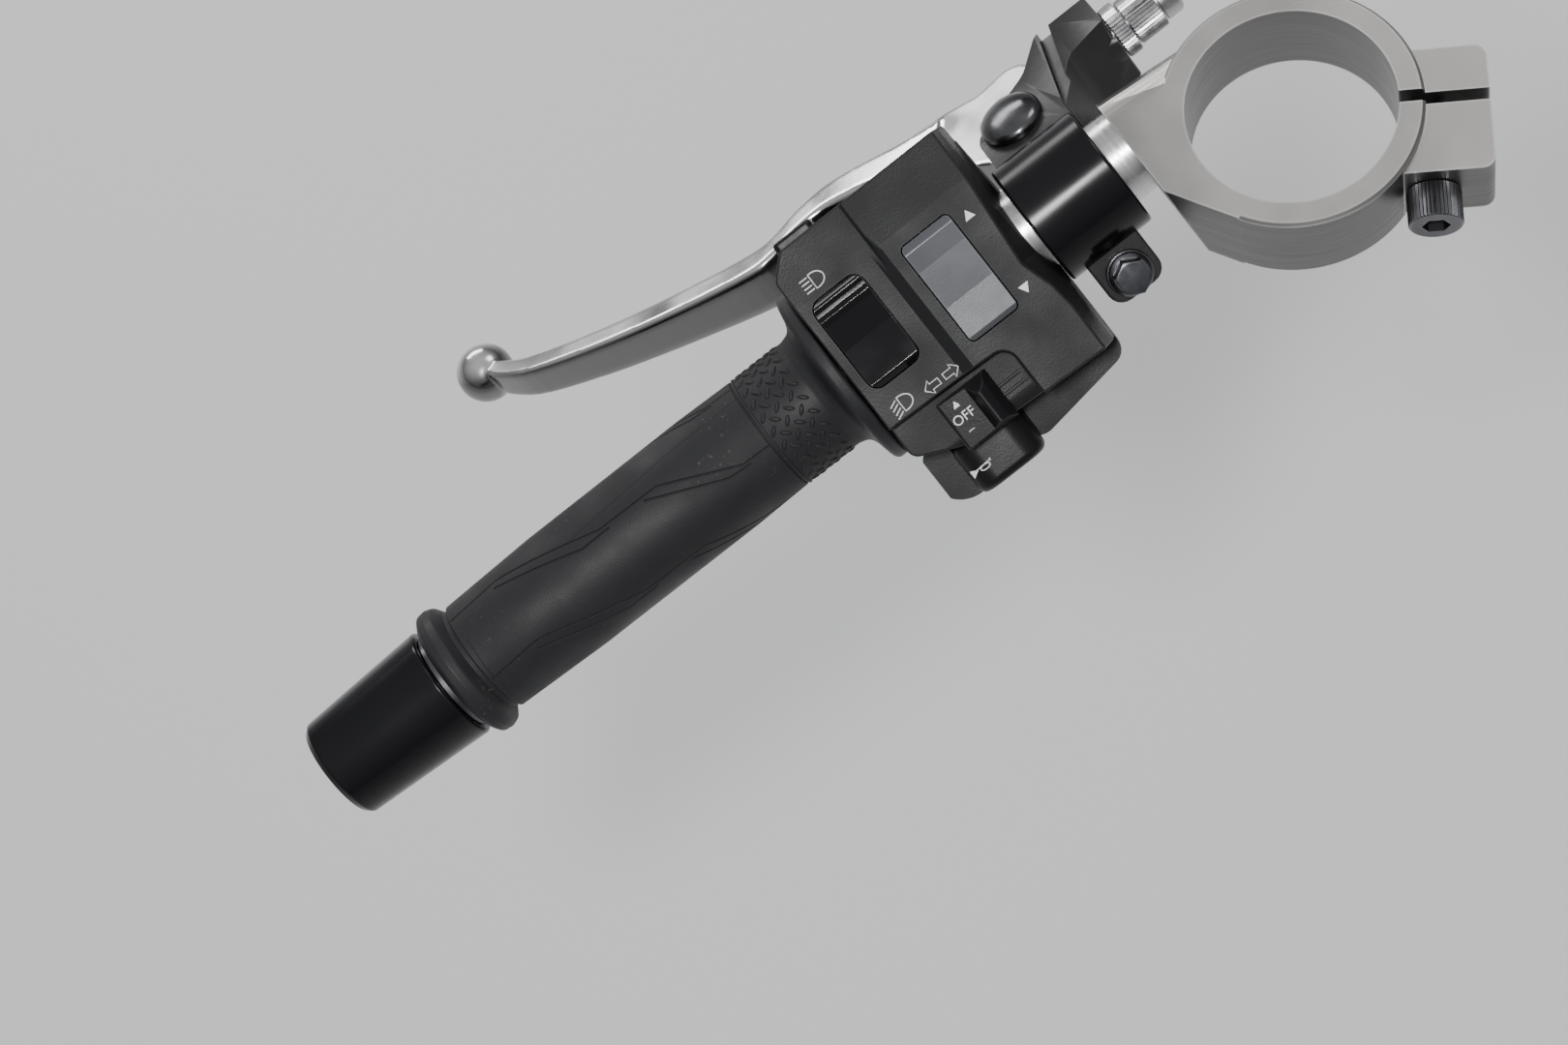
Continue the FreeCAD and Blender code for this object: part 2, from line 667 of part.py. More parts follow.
def dimmer_rocker():
    """Black rocker with two raised ribs in front and a crease across its middle."""
    front = dimmer_reach + dimmer_length / 2
    rear = dimmer_reach - dimmer_length / 2
    top = level_top()
    low = top - rocker_depth + seat_gap
    rows = [(front, low), (front, top + 1.0), (front - 1.4, top + 2.8, 0.5), (front - 2.6, top + 1.9),
            (front - 3.6, top + 1.9), (front - 4.8, top + 2.7, 0.5), (front - 6.4, top + 1.3),
            (dimmer_reach - 1.0, top + 0.5), (rear + 1.4, top + 2.2, 0.6), (rear, top + 0.8), (rear, low)]
    inner = dimmer_station - dimmer_width / 2
    body = end_prism(rows, inner, inner + dimmer_width)
    plan = rectangle(dimmer_station, dimmer_reach, dimmer_width, dimmer_length, rocker_corner)
    return onto_bar(body.common(plan_prism(plan, 0, above)), pod_roll)


def turn_slider():
    """Turn-signal slider: a flat label face with a wedge-shaped ridge on its inner side."""
    low = level_top() - tray_depth + seat_gap
    top = level_top() + slider_rise
    inner = slider_station - slider_width / 2
    outer = slider_station + slider_width / 2
    front = tray_reach - 1.2
    rear = front - slider_length
    peak = top + slider_ridge
    rows = [(outer, low, 0), (outer, top - 0.6, 0.5), (inner + 4.6, top, 0), (inner + 2.4, peak, 0.8),
            (inner, peak - 2.6, 0.8), (inner - 1.6, low + 2.0, 0), (inner - 1.6, low, 0)]
    body = side_prism(rows, rear, front)
    # reach and height of what is sloped off in front and behind
    nose = [(front + 1, peak + 2), (front - 5.0, peak + 2), (front, top - 1.0), (front + 1, top - 1.0)]
    tail = [(rear - 1, low - 1), (rear - 1, peak + 5), (rear + 2.5, peak + 5), (rear, top - 6)]
    for slope in (nose, tail):
        body = body.cut(end_prism(slope, inner - 5, outer + 5))
    return onto_bar(body, pod_roll)


def horn_prism(grow):
    """The horn button's body, or its pocket when grown by the running gap."""
    a = horn_width / 2 + grow
    b = horn_height / 2 + grow
    rows = [(horn_station - a, horn_level - b, 6.0), (horn_station - a, horn_level + b, 6.0),
            (horn_station + a, horn_level + b, 6.0), (horn_station + a, horn_level - b, 6.0)]
    return side_prism(rows, -horn_tip - grow, horn_depth - horn_tip + grow)


def horn_button():
    body = horn_prism(0)
    return onto_bar(bevel_edges(body, 2.0, lambda m, e: m.y < -horn_tip + 0.01), pod_roll)


def trigger_prism(grow):
    """The passing-light trigger's body on the front of the housing, or its pocket."""
    a = trigger_width / 2 + grow
    low, high = trigger_low - grow, trigger_high + grow
    rows = [(trigger_station - a, low, 1.5), (trigger_station - a, high, 1.5),
            (trigger_station + a, high, 1.5), (trigger_station + a, low, 1.5)]
    return side_prism(rows, pod_front - 6.0 - grow, trigger_tip)


def pass_trigger():
    body = bevel_edges(trigger_prism(0), 1.0, lambda m, e: m.y > trigger_tip - 0.01)
    return onto_bar(body, pod_roll)


def grip():
    """Moulded rubber grip: inner disc, neck, raised band, barrel and outer flange."""
    hole = bore_in_sleeve
    disc_end = grip_inner + grip_disc
    band_start = disc_end + neck_length
    band_end = band_start + band_length
    flange_start = grip_outer - flange_width
    band_r = grip_end_r + band_rise
    groove = flange_start - 1.2
    rows = [(grip_inner, hole), (grip_inner, grip_disc_r), (disc_end - 1.4, grip_disc_r),
            (disc_end, grip_disc_r - 1.4), (disc_end + 0.8, grip_neck_r + 1.6),
            (disc_end + 2.6, grip_neck_r - 0.8), (band_start, grip_neck_r - 0.8), (band_start, band_r),
            (band_end, band_r), (band_end, grip_end_r + 0.2), (band_end + 16.0, grip_r),
            (flange_start - 26.0, grip_r), (groove, grip_end_r), (groove, grip_end_r - flange_groove),
            (flange_start, grip_end_r - flange_groove), (flange_start + 2.8, flange_r),
            (grip_outer - 2.0, flange_r), (grip_outer, flange_r - 2.0), (grip_outer, hole)]
    return onto_bar(turned(rows))


def bar_end_spacer():
    ring = sleeve(spacer_r, grip_outer + seat_gap, weight_inner - seat_gap)
    return onto_bar(ring.cut(sleeve(end_screw_r + sleeve_gap, grip_outer, weight_inner + 1)))


def screw_seat():
    """Station of the counterbore's floor in the bar-end weight."""
    return weight_outer - end_screw_head - 1.2


def bar_end_weight():
    """Tapered steel weight with a counterbore for its screw."""
    screw_hole = end_screw_r + sleeve_gap
    bore_r = end_screw_head_r + 0.1
    rows = [(weight_inner, screw_hole), (weight_inner, weight_inner_r), (weight_outer - 1.6, weight_outer_r),
            (weight_outer, weight_outer_r - 1.6), (weight_outer, bore_r), (screw_seat(), bore_r),
            (screw_seat(), screw_hole)]
    return onto_bar(turned(rows))


def bar_end_screw():
    seat = screw_seat() + seat_gap
    top = seat + end_screw_head
    screw = sleeve(end_screw_head_r, seat, top).fuse(sleeve(end_screw_r, weight_inner - 14.0, seat + 1))
    return onto_bar(screw.cut(hexagon(end_screw_hex, 4.0, V(-top - 1.0, 0, 0), V(1, 0, 0))))


for name, shape in (
        ("clip_on_clamp", fork_clamp()),
        ("pinch_bolt", pinch_bolt()),
        ("bar_tube", bar_tube()),
        ("lever_perch", lever_perch()),
        ("perch_washer", perch_washer()),
        ("perch_bolt", perch_bolt()),
        ("lever_pivot_bolt", lever_pivot_bolt()),
        ("lever_pivot_nut", lever_pivot_nut()),
        ("clutch_lever", clutch_lever()),
        ("cable_adjuster", cable_adjuster()),
        ("adjuster_lock_ring", adjuster_lock_ring()),
        ("switch_housing_upper", switch_housing_upper()),
        ("switch_housing_lower", switch_housing_lower()),
        ("select_rocker", select_rocker()),
        ("dimmer_rocker", dimmer_rocker()),
        ("turn_slider", turn_slider()),
        ("horn_button", horn_button()),
        ("pass_trigger", pass_trigger()),
        ("grip", grip()),
        ("bar_end_spacer", bar_end_spacer()),
        ("bar_end_weight", bar_end_weight()),
        ("bar_end_screw", bar_end_screw())):
    save(name, shape)
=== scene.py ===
# %% [markdown]
# # The left clip-on handlebar of a sport motorcycle
# This lesson finishes a part that was built in CAD: the clamp on the fork, the bar, the
# clutch lever on its perch, the switch housing and the rubber grip. The CAD model is loaded
# as a fixed frame, and each piece is then modelled again with soft edges, engraved lines and
# a finish of its own, at the place where the CAD put it.

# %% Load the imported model
import math
import bpy
from mathutils import Matrix, Vector


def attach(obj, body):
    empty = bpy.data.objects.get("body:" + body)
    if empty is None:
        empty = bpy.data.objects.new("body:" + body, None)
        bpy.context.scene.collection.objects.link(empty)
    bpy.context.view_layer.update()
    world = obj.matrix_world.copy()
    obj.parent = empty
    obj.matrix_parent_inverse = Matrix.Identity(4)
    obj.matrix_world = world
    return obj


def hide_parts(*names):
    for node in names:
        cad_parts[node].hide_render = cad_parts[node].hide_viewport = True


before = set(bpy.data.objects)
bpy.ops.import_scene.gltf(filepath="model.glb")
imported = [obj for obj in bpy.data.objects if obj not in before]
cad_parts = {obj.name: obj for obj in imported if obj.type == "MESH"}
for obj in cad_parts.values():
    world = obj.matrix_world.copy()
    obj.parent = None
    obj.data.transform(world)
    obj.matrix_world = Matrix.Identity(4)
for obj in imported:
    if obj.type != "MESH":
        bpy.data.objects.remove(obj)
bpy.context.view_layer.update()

# %% [markdown]
# ## Camera
# The photo looks steeply down over the rider's left hand. The place and the three
# directions of the camera come from a fit to the bar's bands, the clamp ring and the grip.

# %% Set up the camera
PHOTO_WIDTH = 1620
PHOTO_FOCAL = 3960.0
camera_data = bpy.data.cameras.new("photo_camera")
camera_data.sensor_width = 36.0
camera_data.lens = 36.0 * PHOTO_FOCAL / PHOTO_WIDTH
camera_data.clip_start, camera_data.clip_end = 0.05, 20.0
camera = bpy.data.objects.new("photo_camera", camera_data)
bpy.context.scene.collection.objects.link(camera)
right = Vector((0.8308282, -0.5315763, -0.1647761))
down = Vector((-0.5526920, -0.7533976, -0.3562635))
ahead = Vector((0.0652393, 0.3870642, -0.9197419))
turn = Matrix((right, -down, -ahead)).transposed().to_4x4()
camera.matrix_world = Matrix.Translation((-0.210924, -0.357423, 0.821858)) @ turn
bpy.context.scene.camera = camera
print("lens:", round(camera_data.lens, 1), "mm")

# %% [markdown]
# ## Floor and light
# A pale floor well below the part keeps its shadow soft, and large lamps act as the sky and
# the bright windows that draw long highlights on polished and painted round pieces.

# %% Lay the floor and hang the lamps
FLOOR_LEVEL, FLOOR_SIZE = -0.62, 400.0


def select_only(*chosen):
    """Select these objects and nothing else; the last one is the active one."""
    bpy.ops.object.select_all(action="DESELECT")
    for piece in chosen:
        piece.select_set(True)
    bpy.context.view_layer.objects.active = chosen[-1]


def settle(piece):
    """Leave a piece where it stands, but with its own origin at the frame's origin."""
    select_only(piece)
    bpy.ops.object.transform_apply(location=True, rotation=True, scale=True)
    return piece


bpy.ops.object.select_all(action="DESELECT")
bpy.ops.mesh.primitive_plane_add(size=FLOOR_SIZE, location=(0, 0, FLOOR_LEVEL))
floor = settle(bpy.context.object)
floor.name = "studio_floor"
floor_paint = bpy.data.materials.new("pale_floor")
floor_paint.use_nodes = True
floor_shader = floor_paint.node_tree.nodes["Principled BSDF"]
floor_shader.inputs["Base Color"].default_value = (0.80, 0.80, 0.805, 1)
floor_shader.inputs["Roughness"].default_value = 0.9
floor.data.materials.append(floor_paint)


def hang_lamp(name, place, aim, size, watts):
    """A soft lamp of a width and height at a place, turned towards a point."""
    lamp_data = bpy.data.lights.new(name, "AREA")
    lamp_data.shape = "RECTANGLE"
    lamp_data.size, lamp_data.size_y = size
    lamp_data.energy = watts
    lamp = bpy.data.objects.new(name, lamp_data)
    bpy.context.scene.collection.objects.link(lamp)
    lamp.location = place
    lamp.rotation_euler = (Vector(aim) - Vector(place)).to_track_quat("-Z", "Y").to_euler()


PART_MIDDLE = (-0.12, 0.03, -0.03)
hang_lamp("softbox_above", (-0.3635, -0.392, 1.175), PART_MIDDLE, (0.10, 0.20), 12.0)
hang_lamp("low_window", (-0.12, 1.60, 0.32), PART_MIDDLE, (1.10, 0.36), 9.0)
hang_lamp("side_softbox", (0.80, 0.50, 1.00), PART_MIDDLE, (0.50, 0.50), 4.0)
sky = bpy.data.worlds.new("studio_sky")
sky.use_nodes = True
sky_nodes, sky_links = sky.node_tree.nodes, sky.node_tree.links
direction = sky_nodes.new("ShaderNodeTexCoord")
parts = sky_nodes.new("ShaderNodeSeparateXYZ")
rise = sky_nodes.new("ShaderNodeMapRange")
for socket, value in (("From Min", 0.0), ("From Max", 0.9), ("To Min", 0.12), ("To Max", 0.62)):
    rise.inputs[socket].default_value = value
sky_links.new(direction.outputs["Generated"], parts.inputs["Vector"])
sky_links.new(parts.outputs["Z"], rise.inputs["Value"])
sky_links.new(rise.outputs["Result"], sky_nodes["Background"].inputs["Strength"])
sky_nodes["Background"].inputs["Color"].default_value = (0.97, 0.98, 1.0, 1)
bpy.context.scene.world = sky
print("lamps:", len(bpy.data.lights), "floor at", FLOOR_LEVEL, "m")

# %% [markdown]
# ## Places on the bar
# Every piece is drawn as its maker would hold it: the bar's axis is level, a *station* is
# the distance out along the bar from the fork, a *reach* is in front of the axis and a
# *height* is above it, all in millimetres. One helper then takes the finished piece to its
# place. The bar droops outwards, the switch housing is rolled back towards the rider, and
# the lever is rolled forwards and down.

# %% Helpers for places and outlines
MM = 0.001
BAR_DROOP = math.radians(-11.16)
BAR_AHEAD, BAR_ABOVE = 19.1, 6.7
BAR_TURN = Matrix.Rotation(BAR_DROOP, 4, "Y")
BAR_PLACE = Matrix.Translation((0, BAR_AHEAD * MM, BAR_ABOVE * MM)) @ BAR_TURN
POD_ROLL = 25.0
LEVER_ROLL = -30.0
PERCH_BOLT_ROLL = 40.0


def onto_bar(piece, roll=0.0):
    """Take a piece from the bar's frame, rolled about the bar, to its place in the frame."""
    piece.matrix_world = BAR_PLACE @ Matrix.Rotation(math.radians(roll), 4, "X")
    return settle(piece)


def arc_corners(rows, steps=5):
    """Turn (a, b, radius) corners of a closed outline into points along small arcs."""
    points = []
    for k, row in enumerate(rows):
        here = Vector(row[:2])
        radius = row[2] if len(row) > 2 else 0
        back = Vector(rows[k - 1][:2]) - here
        on = Vector(rows[(k + 1) % len(rows)][:2]) - here
        if radius <= 0 or back.length < 1e-9 or on.length < 1e-9:
            points.append(tuple(here))
            continue
        half = back.angle(on) / 2
        back.normalize()
        on.normalize()
        reach = radius / math.tan(half)
        middle = here + (back + on).normalized() * (radius / math.sin(half))
        start = here + back * reach - middle
        sweep = start.angle_signed(here + on * reach - middle)
        for j in range(steps + 1):
            points.append(tuple(middle + Matrix.Rotation(-sweep * j / steps, 2) @ start))
    return points


def hexagon(across, spot=(0, 0), turn=0):
    """Corners of a hexagon round a spot, from its width across the flats."""
    corner = across / 2 / math.cos(math.pi / 6)
    return [(spot[0] + corner * math.cos(math.radians(60 * k + turn)),
             spot[1] + corner * math.sin(math.radians(60 * k + turn))) for k in range(6)]


# Where an outline's two numbers and the third one go. The first three are in the bar's frame,
# the last two in the frame of the fork, for the clamp.
LAID = {"height": lambda a, b, c: (-a * MM, b * MM, c * MM),
        "bar": lambda a, b, c: (-c * MM, a * MM, b * MM),
        "reach": lambda a, b, c: (-a * MM, c * MM, b * MM),
        "plan": lambda a, b, c: (a * MM, b * MM, c * MM),
        "across": lambda a, b, c: (c * MM, a * MM, b * MM)}


def start_path(name, first):
    """A mesh of one point, in edit mode, that is drawn on from there."""
    bpy.ops.object.select_all(action="DESELECT")
    bpy.ops.mesh.primitive_plane_add(size=MM, location=(0, 0, 0))
    piece = bpy.context.object
    piece.name = name
    bpy.ops.object.mode_set(mode="EDIT")
    bpy.ops.mesh.select_mode(type="VERT")
    bpy.ops.mesh.select_all(action="SELECT")
    bpy.ops.mesh.merge(type="CENTER")
    bpy.ops.transform.translate(value=first)
    return piece


def draw_path(name, places, closed=False):
    """Edges from point to point, in the bar's frame and in metres, left in edit mode."""
    piece = start_path(name, places[0])
    for here, there in zip(places, places[1:]):
        step = tuple(b - a for a, b in zip(here, there))
        bpy.ops.mesh.extrude_vertices_move(TRANSFORM_OT_translate={"value": step})
    if closed:
        bpy.ops.mesh.select_all(action="SELECT")
        bpy.ops.mesh.edge_face_add()
    return piece


def round_rod(name, places, radius):
    """A thin round rod along a path of places."""
    draw_path(name, places)
    bpy.ops.object.mode_set(mode="OBJECT")
    bpy.ops.object.convert(target="CURVE")
    rod = bpy.context.object
    rod.data.bevel_depth = radius * MM
    rod.data.bevel_resolution = 1
    rod.data.use_fill_caps = True
    bpy.ops.object.convert(target="MESH")
    return bpy.context.object


def prism(name, rows, low, high, along="height", steps=5):
    """A solid from a closed outline of (a, b, radius) corners, raised along one direction."""
    points = arc_corners(rows, steps)
    lay = LAID[along]
    piece = draw_path(name, [lay(a, b, low) for a, b in points], closed=True)
    rise = tuple(b - a for a, b in zip(lay(0, 0, low), lay(0, 0, high)))
    bpy.ops.mesh.extrude_region_move(TRANSFORM_OT_translate={"value": rise})
    bpy.ops.mesh.select_all(action="SELECT")
    bpy.ops.mesh.normals_make_consistent(inside=False)
    bpy.ops.object.mode_set(mode="OBJECT")
    return piece


def modify(piece, kind, **settings):
    """Add a modifier with these settings and apply it."""
    select_only(piece)
    modifier = piece.modifiers.new(kind.lower(), kind)
    for key, value in settings.items():
        setattr(modifier, key, value)
    bpy.ops.object.modifier_apply(modifier=modifier.name)
    return piece


def combine(piece, other, operation="DIFFERENCE"):
    """Cut, join or intersect a piece with another one, which is used up."""
    modify(piece, "BOOLEAN", object=other, operation=operation, solver="EXACT")
    bpy.data.objects.remove(other, do_unlink=True)
    return piece


def weld(piece, distance=0.1):
    """Merge the slivers that cuts leave, so that the edges can be rounded."""
    select_only(piece)
    bpy.ops.object.mode_set(mode="EDIT")
    bpy.ops.mesh.select_all(action="SELECT")
    bpy.ops.mesh.remove_doubles(threshold=distance * MM)
    bpy.ops.mesh.dissolve_degenerate(threshold=distance * MM)
    bpy.ops.object.mode_set(mode="OBJECT")


def cut(piece, *cutters):
    """Cut a piece with several others in turn."""
    for cutter in cutters:
        combine(piece, cutter)
    return piece


def soften(piece, width, segments=3, angle=28.0, creased=False, clamped=True):
    """Round the sharp edges by a width in millimetres, and shade the rest flat and smooth."""
    modify(piece, "BEVEL", width=width * MM, segments=segments, limit_method="ANGLE",
           angle_limit=math.radians(angle), miter_outer="MITER_ARC", use_clamp_overlap=clamped)
    return smooth(piece, creased=creased)


def flatten_facets(piece, least_width=3.0):
    """Give each broad face its own straight normals, so that a shallow fold stays crisp."""
    mesh = piece.data
    normals = [corner.vector.copy() for corner in mesh.corner_normals]
    for face in mesh.polygons:
        ends = [(mesh.vertices[a].co, mesh.vertices[b].co) for a, b in face.edge_keys]
        longest = max((start - end).length for start, end in ends)
        if face.area > least_width * MM * longest > 0:
            for k in face.loop_indices:
                normals[k] = face.normal.copy()
    mesh.normals_split_custom_set(normals)


def smooth(piece, angle=35.0, creased=False):
    """Shade smoothly up to an angle; broad faces can be kept flat."""
    select_only(piece)
    bpy.ops.object.shade_smooth_by_angle(angle=math.radians(angle))
    modify(piece, "WEIGHTED_NORMAL", keep_sharp=True, weight=100)
    if creased:
        flatten_facets(piece)
    return piece


print("bar place:", [round(v, 4) for v in BAR_PLACE.translation])

# %% [markdown]
# Round pieces are spun on a lathe or moulded round the bar. Here a circle is drawn round the
# bar's axis and pulled along it ring by ring, with each ring resized to the next radius.

# %% Helper for round pieces


def lathe(name, rows, sides=96, steps=5, upright=None):
    """A solid of revolution from (place, radius, corner radius) rows. It turns about the
    bar's axis, or about an upright axis through a (station, reach)."""
    points = arc_corners(rows, steps)
    points.append(points[0])
    bpy.ops.object.select_all(action="DESELECT")
    about = (0, 0, 0) if upright else (0, math.pi / 2, 0)
    bpy.ops.mesh.primitive_circle_add(vertices=sides, radius=max(points[0][1], 0.001) * MM,
                                      location=(0, 0, 0), rotation=about)
    piece = bpy.context.object
    piece.name = name
    bpy.ops.object.transform_apply(rotation=True)

    def spot(place):
        if upright:
            return (-upright[0] * MM, upright[1] * MM, place * MM)
        return (-place * MM, 0, 0)

    bpy.ops.object.mode_set(mode="EDIT")
    bpy.ops.mesh.select_all(action="SELECT")
    bpy.ops.transform.translate(value=spot(points[0][0]))
    for (p0, r0), (p1, r1) in zip(points, points[1:]):
        step = tuple(b - a for a, b in zip(spot(p0), spot(p1)))
        grow = max(r1, 0.001) / max(r0, 0.001)
        sizes = (grow, grow, 1) if upright else (1, grow, grow)
        bpy.ops.mesh.extrude_region_move(TRANSFORM_OT_translate={"value": step})
        bpy.ops.transform.resize(value=sizes, center_override=spot(p1))
    bpy.ops.mesh.select_all(action="SELECT")
    bpy.ops.mesh.remove_doubles(threshold=0.003 * MM)
    bpy.ops.mesh.normals_make_consistent(inside=False)
    bpy.ops.object.mode_set(mode="OBJECT")
    return piece


def disc(name, start, end, radius, **settings):
    """A plain round block or hole, from one place on its axis to another."""
    return lathe(name, [(start, 0), (start, radius), (end, radius), (end, 0)], **settings)


# %% [markdown]
# ## Finishes
# A finish starts from plain values on the shader's own sockets, and patterns are added to
# them: clouds that vary the roughness, a fine grain that tilts the surface, and a mask along
# edges where hands and cloths have worn it. Patterns lie in the object's own coordinates,
# and can be centred on and turned with the bar.

# %% Helpers for finishes


def new_finish(name, colour, roughness, metallic=0.0):
    """A material with plain values; the patterns are added afterwards."""
    finish = bpy.data.materials.new(name)
    finish.use_nodes = True
    shader = finish.node_tree.nodes["Principled BSDF"]
    shader.inputs["Base Color"].default_value = (*colour, 1)
    shader.inputs["Roughness"].default_value = roughness
    shader.inputs["Metallic"].default_value = metallic
    finish.diffuse_color = (*colour, 1)
    return finish, finish.node_tree, shader


def pattern_place(tree, stretch=(1, 1, 1), roll=None, centre=(0, 0, 0)):
    """Where a pattern lies. With a roll it is turned with the bar; stretch is along its axes."""
    mapping = tree.nodes.new("ShaderNodeMapping")
    mapping.vector_type = "TEXTURE"
    mapping.inputs["Location"].default_value = centre
    if roll is not None:
        mapping.inputs["Location"].default_value = BAR_PLACE.translation
        mapping.inputs["Rotation"].default_value = (math.radians(roll), BAR_DROOP, 0)
    mapping.inputs["Scale"].default_value = stretch
    coordinates = tree.nodes.new("ShaderNodeTexCoord")
    tree.links.new(coordinates.outputs["Object"], mapping.inputs["Vector"])
    return mapping.outputs["Vector"]


def clouds(tree, place, scale, detail=3.0):
    """A soft, cloudy pattern; a larger scale makes it finer."""
    noise = tree.nodes.new("ShaderNodeTexNoise")
    noise.inputs["Scale"].default_value = scale
    noise.inputs["Detail"].default_value = detail
    tree.links.new(place, noise.inputs["Vector"])
    return noise.outputs["Fac"]


def between(tree, pattern, low, high, pattern_low=0.35, pattern_high=0.65):
    """A value that follows a pattern from low to high."""
    remap = tree.nodes.new("ShaderNodeMapRange")
    for socket, value in (("From Min", pattern_low), ("From Max", pattern_high),
                          ("To Min", low), ("To Max", high)):
        remap.inputs[socket].default_value = value
    tree.links.new(pattern, remap.inputs["Value"])
    return remap.outputs["Result"]


def reckon(tree, operation, first, second):
    """One value from two, such as their product or the larger one."""
    node = tree.nodes.new("ShaderNodeMath")
    node.operation = operation
    tree.links.new(first, node.inputs[0])
    tree.links.new(second, node.inputs[1])
    return node.outputs["Value"]


def two_tones(tree, shader, share, first, second):
    """Base colour that goes from one tone to another with a share from 0 to 1."""
    mix = tree.nodes.new("ShaderNodeMix")
    mix.data_type = "RGBA"
    mix.inputs["A"].default_value = (*first, 1)
    mix.inputs["B"].default_value = (*second, 1)
    tree.links.new(share, mix.inputs["Factor"])
    tree.links.new(mix.outputs["Result"], shader.inputs["Base Color"])


def relief(tree, shader, heights):
    """Tilt the surface by one or more (pattern, depth in millimetres) pairs."""
    under = None
    for pattern, depth in heights:
        bump = tree.nodes.new("ShaderNodeBump")
        bump.inputs["Distance"].default_value = depth * MM
        tree.links.new(pattern, bump.inputs["Height"])
        if under:
            tree.links.new(under, bump.inputs["Normal"])
        under = bump.outputs["Normal"]
    tree.links.new(under, shader.inputs["Normal"])


def edge_wear(tree, width, full=0.93):
    """1 along edges within a width in millimetres, and 0 on open faces."""
    rounded = tree.nodes.new("ShaderNodeBevel")
    rounded.samples = 4
    rounded.inputs["Radius"].default_value = width * MM
    geometry = tree.nodes.new("ShaderNodeNewGeometry")
    compare = tree.nodes.new("ShaderNodeVectorMath")
    compare.operation = "DOT_PRODUCT"
    tree.links.new(rounded.outputs["Normal"], compare.inputs[0])
    tree.links.new(geometry.outputs["Normal"], compare.inputs[1])
    return between(tree, compare.outputs["Value"], 0.0, 1.0, 0.995, full)


def roughness_from(tree, shader, value):
    """Let a value drive the roughness."""
    tree.links.new(value, shader.inputs["Roughness"])


def worn_finish(name, colour, worn, sheen, patches, grain, depth, specular=0.5, wear=0.5):
    """A plastic or paint. Sheen is the plain, least and most roughness, which large patches
    vary; a grain of (scale, detail) tilts the surface, and edges are worn to a second tone."""
    finish, tree, shader = new_finish(name, colour, sheen[0])
    pattern = clouds(tree, pattern_place(tree), patches)
    roughness_from(tree, shader, between(tree, pattern, *sheen[1:]))
    relief(tree, shader, [(clouds(tree, pattern_place(tree), *grain), depth)])
    two_tones(tree, shader, edge_wear(tree, wear), colour, worn)
    shader.inputs["Specular IOR Level"].default_value = specular
    return finish


def deliver(piece, body, finish, slot, *nodes):
    """Give a finished piece its material and its body, and hide the CAD nodes that it stands for."""
    piece.data.materials.clear()
    piece.data.materials.append(finish)
    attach(piece, body)
    if nodes:
        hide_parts(*nodes)
    print(piece.name, "faces:", len(piece.data.polygons))
    return piece


# %% [markdown]
# ## Bar tube
# The bar is a plain aluminium tube, 22.2 mm across. It shows as two narrow bright bands and
# is turned, so its fine scratches run round it.

# %% Finish the bar tube
bar_metal, tree, shader = new_finish("turned_bar_aluminium", (0.68, 0.68, 0.67), 0.28, 1.0)
rings = clouds(tree, pattern_place(tree, (0.02, 1, 1), 0), 14.0, 4.0)
roughness_from(tree, shader, between(tree, rings, 0.20, 0.36))
relief(tree, shader, [(rings, 0.006)])
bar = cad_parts["bar_tube"]
bar.data.materials.clear()
bar.data.materials.append(bar_metal)
print("bar tube finished:", bar_metal.name)

# %% [markdown]
# ## Rubber grip
# The grip is moulded in one piece: a wide disc that keeps the thumb off the housing, a neck,
# a band of small raised lozenges, and a barrel that swells slightly in the palm. Thin zig-zag
# lines are engraved in the barrel, and a rounded flange ends it.

# %% Turn the grip's body
GRIP_INNER, GRIP_OUTER = 119.9, 241.5
BAR_BORE = 11.15
BAND_R = 15.35
grip_rows = [
    (GRIP_INNER, BAR_BORE), (GRIP_INNER, 24.2, 0.8), (123.3, 24.2, 1.5), (124.4, 19.2, 2.0),
    (125.6, 16.2, 3.0), (128.6, BAND_R, 3.0), (143.1, BAND_R), (143.25, 15.65, 0.1),
    (143.75, 15.65, 0.1), (143.9, 15.05), (144.3, 15.05), (144.35, 15.5, 0.3), (160.0, 15.9, 20.0),
    (207.0, 15.9, 30.0), (232.9, 15.1, 0.3), (233.1, 14.4, 0.2), (234.3, 14.35, 0.4),
    (236.2, 17.1, 1.5), (238.0, 17.75, 1.2), (240.2, 17.5, 1.2), (241.5, 15.6, 0.6),
    (GRIP_OUTER, BAR_BORE)]
GRIP_SIDES = 144
grip = lathe("rubber_grip", grip_rows, sides=GRIP_SIDES)
print("grip turned, rings:", len(grip.data.vertices) // GRIP_SIDES)

# %% [markdown]
# The zig-zag lines repeat five times round the barrel. Each is a path of (station, angle)
# points laid on the surface; a thin round tool runs along it and cuts the groove.

# %% Engrave the barrel


def barrel_radius(station):
    """The barrel's radius between the band and the outer flange."""
    if station < 160:
        return 15.5 + 0.4 * (station - 144.3) / 15.7
    return 15.9 if station < 207 else 15.9 - 0.8 * (station - 207) / 26


def on_barrel(station, angle, radius):
    """Point on the grip's surface; the angle is counted from the front over the top."""
    a = math.radians(angle)
    return (-station * MM, radius * math.cos(a) * MM, radius * math.sin(a) * MM)


